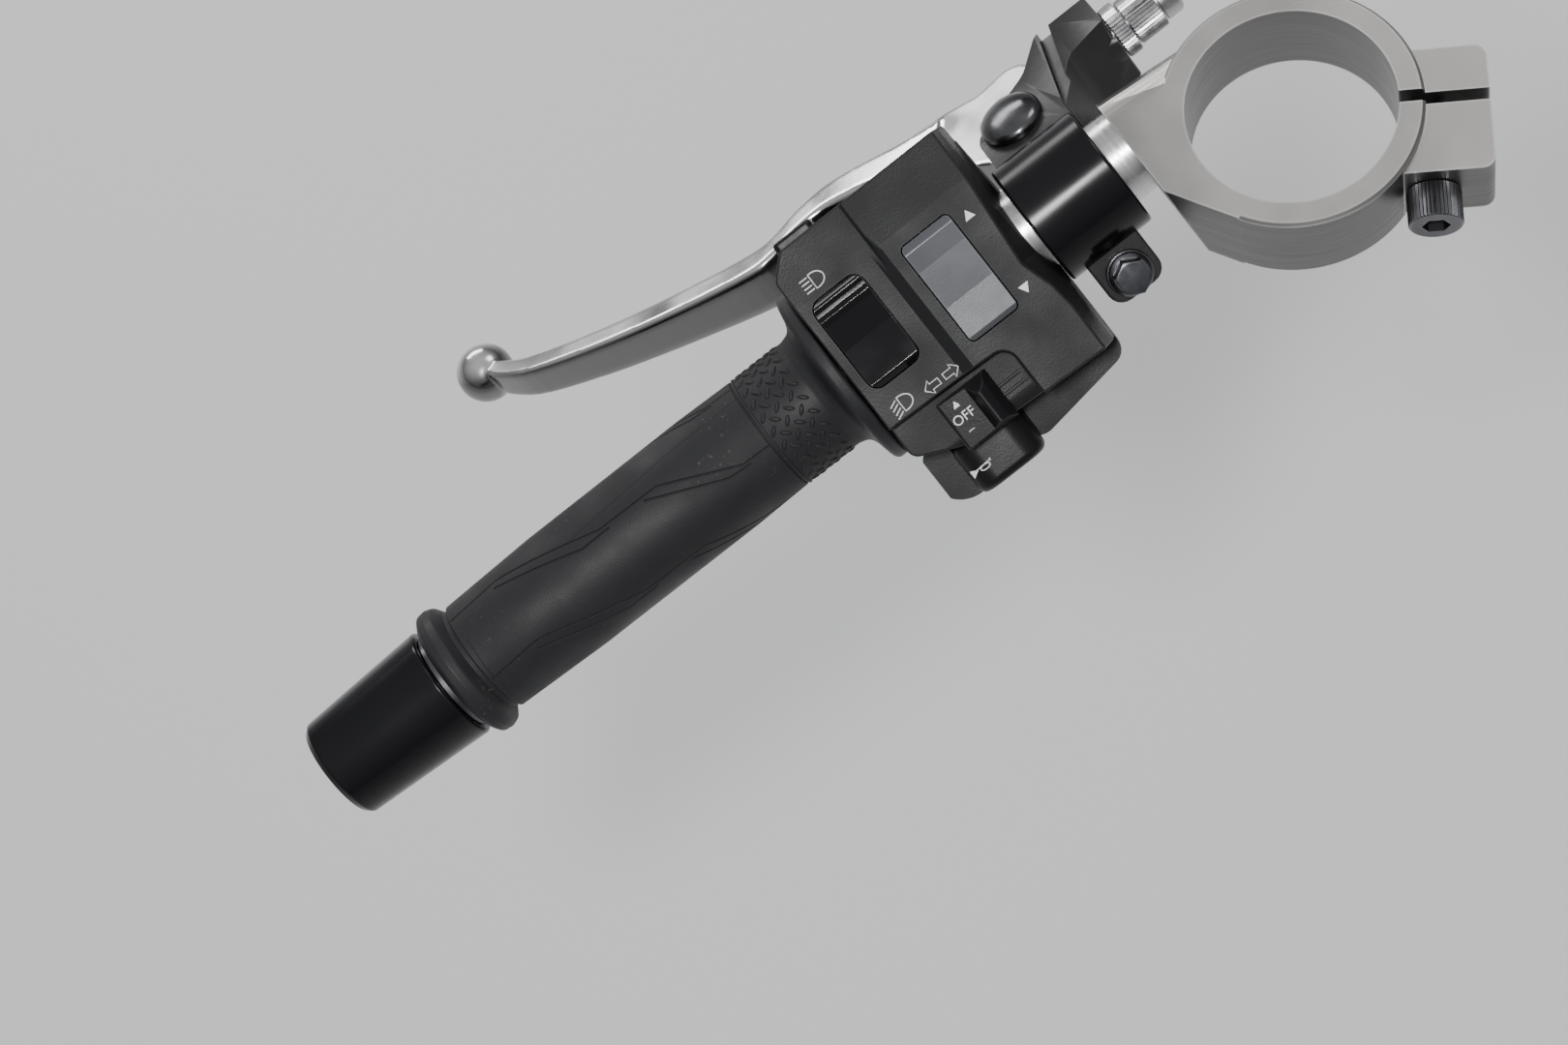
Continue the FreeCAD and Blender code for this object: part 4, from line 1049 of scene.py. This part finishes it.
# %% Cast the split lugs behind
PERCH_BOLT = (PIVOT[0], -21.6)
lug_rows = [(44.8, -12), (44.8, -27.6, 4), (59.8, -27.6, 4), (59.8, -12)]
lugs = prism("perch_split_lugs", lug_rows, -7.5, 7.5)
split_rows = [(30, -50), (30, -5), (75, -5), (75, -50)]
cut(lugs, prism("split", split_rows, -1, 1),
    disc("bolt_bore", -12, 12, M6_HOLE, sides=32, upright=PERCH_BOLT))
onto_bar(soften(lugs, 0.8, 4, clamped=False), PERCH_BOLT_ROLL)
print("lugs, faces:", len(lugs.data.polygons))

# %% Finish the perch
satin_black = worn_finish("satin_black_bracket", (0.022, 0.020, 0.020), (0.07, 0.067, 0.066),
                          (0.38, 0.32, 0.46), 60.0, (420.0, 3.0), 0.05)
deliver(perch_ring, "bar_unit", gloss_black, "perch_black", "lever_perch")
deliver(bracket, "bar_unit", satin_black, "perch_black", "lever_perch")
deliver(lugs, "bar_unit", satin_black, "perch_black", "lever_perch")

# %% [markdown]
# ## Bolts, nut and washer
# Hexagon heads are turned on top and then milled flat on six sides, so a head is a prism
# trimmed by a chamfered disc. The prism is longer than the disc, since two faces in one plane
# make a cut unsafe. The lever turns on a shouldered bolt with a low polished dome.

# %% Make the perch's bolts


def hex_head(name, across, low, high, spot, chamfer=0.9):
    """A hexagon head: a prism trimmed by a disc with a chamfered rim."""
    flats = hexagon(across, spot, 30)
    corner = across / 2 / math.cos(math.pi / 6)
    rim = [(low, 0), (low, corner + 0.1), (high - chamfer * 0.5, corner + 0.1), (high, corner - chamfer),
           (high, 0)]
    trim = lathe("chamfer_disc", rim, sides=72, upright=spot)
    return combine(prism(name, flats, low - 1, high + 1), trim, "INTERSECT")


def dome_bolt(name, spot, low, head_r, height, shank_r, shank_end):
    """A bolt with a low dome on a short collar, and its shank below."""
    collar_top = low + 1.2
    rise = height - 1.2
    dome = [(collar_top + rise * math.sin(math.radians(a)), head_r * math.cos(math.radians(a)))
            for a in range(15, 90, 15)]
    rows = [(shank_end, 0), (shank_end, shank_r, 0.4), (low, shank_r), (low, head_r, 0.3),
            (collar_top, head_r, 0.3)] + dome + [(low + height, 0)]
    return lathe(name, rows, sides=96, upright=spot)


perch_bolt = hex_head("perch_hex_bolt", 8.0, 9.0, 14.0, PERCH_BOLT)
flange_rows = [(8.9, 0), (8.9, 5.4, 0.3), (10.0, 5.4, 0.5), (10.6, 4.4), (10.6, 0)]
combine(perch_bolt, lathe("bolt_flange", flange_rows, sides=64, upright=PERCH_BOLT), "UNION")
shank_rows = [(-8.5, 0), (-8.5, 3, 0.5), (9.5, 3), (9.5, 0)]
combine(perch_bolt, lathe("bolt_shank", shank_rows, sides=48, upright=PERCH_BOLT), "UNION")
onto_bar(soften(perch_bolt, 0.2, 2), PERCH_BOLT_ROLL)
washer_rows = [(7.55, 3.1), (7.55, 5.8, 0.2), (8.95, 5.8, 0.4), (8.95, 3.1)]
washer = smooth(lathe("perch_bolt_washer", washer_rows, sides=64, upright=PERCH_BOLT))
onto_bar(washer, PERCH_BOLT_ROLL)
pivot_bolt = smooth(dome_bolt("lever_pivot_dome_bolt", PIVOT, 10.05, 8.2, 4.4, 4.0, -17.2), 60)
onto_bar(pivot_bolt, LEVER_ROLL)
nut = hex_head("lever_pivot_hex_nut", 12.0, -16.05, -10.05, PIVOT)
cut(nut, disc("nut_thread", -18, -9, M8_HOLE, sides=48, upright=PIVOT))
onto_bar(soften(nut, 0.25, 2), LEVER_ROLL)
print("bolts, nut and washer made; nut faces:", len(nut.data.polygons))

# %% Plate the bolts
dark_chrome, tree, shader = new_finish("dark_chrome_bolt", (0.12, 0.12, 0.125), 0.16, 1.0)
smear = clouds(tree, pattern_place(tree), 75.0, 4.0)
roughness_from(tree, shader, between(tree, smear, 0.12, 0.32))
relief(tree, shader, [(clouds(tree, pattern_place(tree), 170.0, 2.0), 0.12)])
two_tones(tree, shader, between(tree, smear, 0, 1), (0.08, 0.08, 0.083), (0.17, 0.17, 0.175))
zinc_steel, tree, shader = new_finish("zinc_plated_steel", (0.55, 0.55, 0.56), 0.30, 1.0)
plating = clouds(tree, pattern_place(tree), 260.0, 4.0)
roughness_from(tree, shader, between(tree, plating, 0.22, 0.42))
relief(tree, shader, [(plating, 0.02)])
two_tones(tree, shader, between(tree, plating, 0, 1), (0.48, 0.48, 0.49), (0.60, 0.60, 0.60))
deliver(perch_bolt, "bar_unit", dark_steel, "dark_steel", "perch_bolt")
deliver(washer, "bar_unit", dark_steel, "dark_steel", "perch_washer")
deliver(pivot_bolt, "bar_unit", dark_chrome, "dark_steel", "lever_pivot_bolt")
deliver(nut, "bar_unit", zinc_steel, "zinc_steel", "lever_pivot_nut")

# %% [markdown]
# ## Cable adjuster
# The rider takes up the cable's slack by hand here, so the collar and its lock ring are
# knurled. A knurled disc is a star-like prism trimmed by a disc with softened rims.

# %% Knurl the adjuster


def knurled(name, radius, depth, teeth, start, end, rim=0.5):
    """A knurled disc on the bar's axis between two stations."""
    star = []
    for k in range(2 * teeth):
        r = radius if k % 2 == 0 else radius - depth
        star.append((r * math.cos(math.pi * k / teeth), r * math.sin(math.pi * k / teeth)))
    rim_rows = [(start, 0), (start, radius - rim), (start + rim, radius + 0.1),
                (end - rim, radius + 0.1), (end, radius - rim), (end, 0)]
    body = prism(name, star, start - 1, end + 1, "bar")
    return combine(body, lathe("rims", rim_rows), "INTERSECT")


collar = knurled("cable_adjuster_collar", 6.4, 0.35, 40, 7.0, 15.4)
nose_rows = [(1.4, 0), (1.4, 5.7, 1.6), (6.4, 5.7, 0.3), (6.7, 5.2), (7.1, 5.2), (7.1, 0)]
combine(collar, lathe("adjuster_nose", nose_rows, sides=72), "UNION")
stem_rows = [(14.4, 0), (14.4, 4), (26, 4, 0.4), (26, 0)]
combine(collar, lathe("adjuster_stem", stem_rows, sides=48), "UNION")
cut(collar, disc("cable_way", 0, 28, CABLE_WAY, sides=32))
onto_bar(shift_reach(smooth(collar, 30), ADJUSTER_REACH), LEVER_ROLL)
lock_ring = knurled("adjuster_lock_ring_knurled", 7.2, 0.4, 44, 15.7, 19.7)
cut(lock_ring, disc("ring_thread", 14, 22, M8_HOLE, sides=48))
onto_bar(shift_reach(smooth(lock_ring, 30), ADJUSTER_REACH), LEVER_ROLL)
deliver(collar, "bar_unit", zinc_steel, "zinc_steel", "cable_adjuster")
deliver(lock_ring, "bar_unit", zinc_steel, "zinc_steel", "adjuster_lock_ring")

# %% [markdown]
# ## Fork clamp
# The clamp is machined from aluminium: a ring round the fork tube, a socket block for the
# bar in front, and two split lugs behind that a bolt pulls together. The ring's side keeps
# the fine lines of its turning, and its rims are broken by a narrow bright chamfer. The
# block's front falls away round the bar's socket, which saves weight.

# %% Machine the block and the ring
FORK_R, RING_R, HALF = 25.0, 31.1, 12.7
LUG_ANGLE = -32
SOCKET_FACE, SOCKET_END = 34.4, 27.25
# where the block's rear wall meets the ring, and the block in plan
web = math.radians(212)
block_rows = [(-52.6, 0.7), (-52.6, 37.5), (4, 37.5, 10), (0.8 * RING_R, 0.62 * RING_R), (0, 0),
              (RING_R * math.cos(web), RING_R * math.sin(web)), (-36.6, 0.3, 1)]
clamp = prism("fork_clamp_machined", block_rows, -HALF, HALF, "plan", 8)
# places to the front and heights, where the front falls away
front_rows = [(20.3, HALF + 1), (22.5, HALF), (28.3, 10), (34, 0), (34, -8.5), (29, -HALF - 1),
              (60, -HALF - 1), (60, HALF + 1)]
cut(clamp, prism("front_fall", front_rows, -60, 40, "across"))
face_rows = [(SOCKET_FACE, -70), (SOCKET_FACE, 70), (77.6, 70), (77.6, -70)]
cut(clamp, onto_bar(prism("socket_face", face_rows, -70, 70)))
ring_rows = [(-HALF, 0), (-HALF, RING_R - 0.8), (-HALF + 0.8, RING_R), (HALF - 0.8, RING_R),
             (HALF, RING_R - 0.8), (HALF, 0)]
combine(clamp, lathe("clamp_ring", ring_rows, sides=192, upright=(0, 0)), "UNION")
print("block and ring, faces:", len(clamp.data.polygons))

# %% Add the lugs, then bore the fork's and the bar's holes
LUG_TURN = Matrix.Rotation(math.radians(LUG_ANGLE), 4, "Z")
PINCH_PLACE = 31.5


def turned_to_lugs(piece):
    """Turn a piece that is drawn straight ahead to where the lugs stand."""
    piece.matrix_world = LUG_TURN
    return settle(piece)


def onto_pinch(piece):
    """Take a piece from the bar's axis to the pinch bolt's axis across the lugs."""
    centre = Matrix.Translation(LUG_TURN @ Vector((PINCH_PLACE * MM, 0, 0)))
    piece.matrix_world = centre @ Matrix.Rotation(math.radians(LUG_ANGLE + 90), 4, "Z")
    return settle(piece)


lug_block = prism("lug_block", [(18, 13), (46, 13, 3), (46, -19, 3), (18, -19)], -10.5, 10.5, "plan")
combine(clamp, turned_to_lugs(lug_block), "UNION")
slit = prism("slit", [(10, 1.5), (48, 1.5), (48, -1.5), (10, -1.5)], -14, 14, "plan")
cut(clamp, disc("fork_bore", -14, 14, FORK_R, sides=192, upright=(0, 0)), turned_to_lugs(slit))
pinch_hole = onto_pinch(disc("pinch_hole", -16, 22, M8_HOLE, sides=48))
cut(clamp, pinch_hole, onto_bar(disc("bar_hole", SOCKET_END, 60, BAR_BORE)))
soften(clamp, 0.45, 3, 32)
print("clamp, faces:", len(clamp.data.polygons))

# %% Make the pinch bolt
pinch_bolt = knurled("pinch_bolt_knurled", 6.5, 0.3, 44, 19.05, 28.05)
shank_rows = [(-12.95, 0), (-12.95, 4, 0.6), (20, 4), (20, 0)]
combine(pinch_bolt, lathe("pinch_shank", shank_rows, sides=48), "UNION")
cut(pinch_bolt, prism("pinch_key_hole", hexagon(6.0), 23.5, 30, "bar"))
onto_pinch(smooth(pinch_bolt, 30))
print("pinch bolt, faces:", len(pinch_bolt.data.polygons))

# %% [markdown]
# The clamp's top is painted light and its turned side darker, as painted light from above and painted shade
# on the side. A value that follows how far the surface looks up sets the two apart, rims are brighter still,
# and a cloudy patina takes a little off.

# %% Finish the clamp
clamp_metal, tree, shader = new_finish("machined_clamp_aluminium", (0.42, 0.41, 0.40), 0.36, 1.0)
lines = clouds(tree, pattern_place(tree, (0.6, 0.6, 0.012)), 22.0, 4.0)
patina = clouds(tree, pattern_place(tree), 38.0, 4.0)
roughness_from(tree, shader, between(tree, lines, 0.30, 0.46))
relief(tree, shader, [(lines, 0.035), (clouds(tree, pattern_place(tree), 1500.0, 2.0), 0.012)])
shape_normal = tree.nodes.new("ShaderNodeTexCoord")
facing = tree.nodes.new("ShaderNodeSeparateXYZ")
tree.links.new(shape_normal.outputs["Normal"], facing.inputs["Vector"])
# painted light: faces that look up get the light tone, and the side keeps the darker one as painted shade
painted_clamp_top_light = between(tree, facing.outputs["Z"], 0, 0.55, 0.3, 0.9)
bright = reckon(tree, "MAXIMUM", painted_clamp_top_light, edge_wear(tree, 0.9, 0.92))
toned = reckon(tree, "SUBTRACT", bright, between(tree, patina, 0, 0.12))
two_tones(tree, shader, toned, (0.17, 0.165, 0.16), (0.72, 0.70, 0.68))
deliver(clamp, "bar_unit", clamp_metal, "clamp_aluminium", "clip_on_clamp")
deliver(pinch_bolt, "bar_unit", dark_steel, "dark_steel", "pinch_bolt")

# %% [markdown]
# ## Printed marks
# Fine white lines tell the rider what each control does: the headlamp's high and low beam,
# the two turn arrows and the horn. They are pad-printed, so here they are lines and filled
# shapes that stand only a few hundredths of a millimetre off the plastic.

# %% Helpers for printing
PRINT_LIFT = 0.05
INK_LINE = 0.17


def surface_height(station, reach):
    """Height of the upper shell's face at a (station, reach)."""
    top = POD_TOP if station < LEVEL_STATION else LEVEL_TOP
    slope = INNER_BROW_SLOPE if station < LEVEL_STATION else OUTER_BROW_SLOPE
    return top - max(0.0, reach - BROW_START) * slope


def printed_line(strokes, station, reach, level=None, thickness=INK_LINE):
    """Lines through (right, up) points as the rider reads them, laid on the housing."""
    lines = []
    for stroke in strokes:
        places = []
        for u, v in stroke:
            s, w = station - u, reach + v
            h = level if level is not None else surface_height(s, w)
            places.append((-s * MM, w * MM, h * MM))
        lines.append(round_rod("printed_line", places, thickness))
    return lines


def printed_shape(points, station, reach, level):
    """A filled shape from (right, up) points, at one level."""
    rows = [(station - u, reach + v) for u, v in points]
    return prism("printed_shape", rows, level - PRINT_LIFT, level + PRINT_LIFT)


def lamp_outline(middle):
    """The headlamp's D, with its bulge to the right."""
    arc = [(middle + 0.2 + 2.5 * math.cos(math.radians(a)), 1.9 * math.sin(math.radians(a)))
           for a in range(90, -91, -15)]
    return [(middle - 0.5, 1.9)] + arc + [(middle - 0.5, -1.9), (middle - 0.5, 1.9)]


def slider_face(station):
    """Height of the slider's label face, which rises slightly to the ridge."""
    return SLIDER_TOP - (station - SLIDER_RIDGE) * SLIDER_SLOPE


print("face heights:", surface_height(80, 0), surface_height(110, 0))

# %% Draw the pictograms
HORN_MARK = (108.3, -37.6, 11.0)
marks = []
high_beams = [[(-1.0, v), (-3.2, v)] for v in (1.6, 0.55, -0.55, -1.6)]
low_beams = [[(-1.0, v), (-3.0, v - 0.9)] for v in (1.6, 0.55, -0.55, -1.6)]
marks += printed_line([lamp_outline(0)] + high_beams, 111.6, 22.0)
marks += printed_line([lamp_outline(0)] + low_beams, 113.0, -13.6)
arrow = [(-2.3, 0), (-0.5, 1.8), (-0.5, 0.8), (1.9, 0.8), (1.9, -0.8), (-0.5, -0.8), (-0.5, -1.8),
         (-2.3, 0)]
marks += printed_line([arrow], 104.8, -14.7)
marks += printed_line([[(-u, v) for u, v in arrow]], 99.6, -14.7)
triangle = [(-1.4, -1.1), (1.4, -1.1), (0, 1.3)]
marks.append(printed_shape(triangle, 73.6, 11.8, POD_TOP))
marks.append(printed_shape([(u, -v) for u, v in reversed(triangle)], 73.6, -10.0, POD_TOP))
horn_loop = [(0.9 + 1.35 * math.cos(math.radians(a)), -0.3 + 0.6 * math.sin(math.radians(a)))
             for a in range(0, 361, 30)]
marks += printed_line([[(-2.4, 0.1), (2.8, 0.5)], [(2.7, 0.2), (2.9, 0.85)], horn_loop], *HORN_MARK)
marks.append(printed_shape([(-2.9, 1.0), (-2.9, -1.1), (-0.9, 0.1)], *HORN_MARK))
marks.append(printed_shape([(0.7 * u, 0.7 * v) for u, v in triangle], 103.2, -21.4, slider_face(103.2)))
marks += printed_line([[(-0.8, 0), (0.8, 0)]], 103.8, -28.4, slider_face(103.8), 0.14)
print("marks drawn:", len(marks))

# %% Letter the slider
bpy.ops.object.text_add(location=(0, 0, 0))
label = bpy.context.object
label.data.body = "OFF"
label.data.align_x, label.data.align_y = "CENTER", "CENTER"
label.data.size = 3.4 * MM
label.data.extrude = PRINT_LIFT * MM
bpy.ops.object.convert(target="MESH")
label = bpy.context.object
label.location = (-103.4 * MM, -24.9 * MM, slider_face(103.4) * MM)
label.rotation_euler = (0, -math.atan(SLIDER_SLOPE), 0)
marks.append(settle(label))
select_only(*marks)
bpy.ops.object.join()
print_layer = onto_bar(bpy.context.object, POD_ROLL)
print_layer.name = "printed_marks"
weld(print_layer, 0.001)
print("print layer, faces:", len(print_layer.data.polygons))

# %% Finish the marks
mark_white, tree, shader = new_finish("pad_printed_white", (0.82, 0.82, 0.80), 0.5)
ink = clouds(tree, pattern_place(tree), 1400.0, 3.0)
two_tones(tree, shader, between(tree, ink, 0, 1), (0.72, 0.72, 0.70), (0.88, 0.88, 0.86))
relief(tree, shader, [(ink, 0.02)])
deliver(print_layer, "bar_unit", mark_white, "housing_plastic")
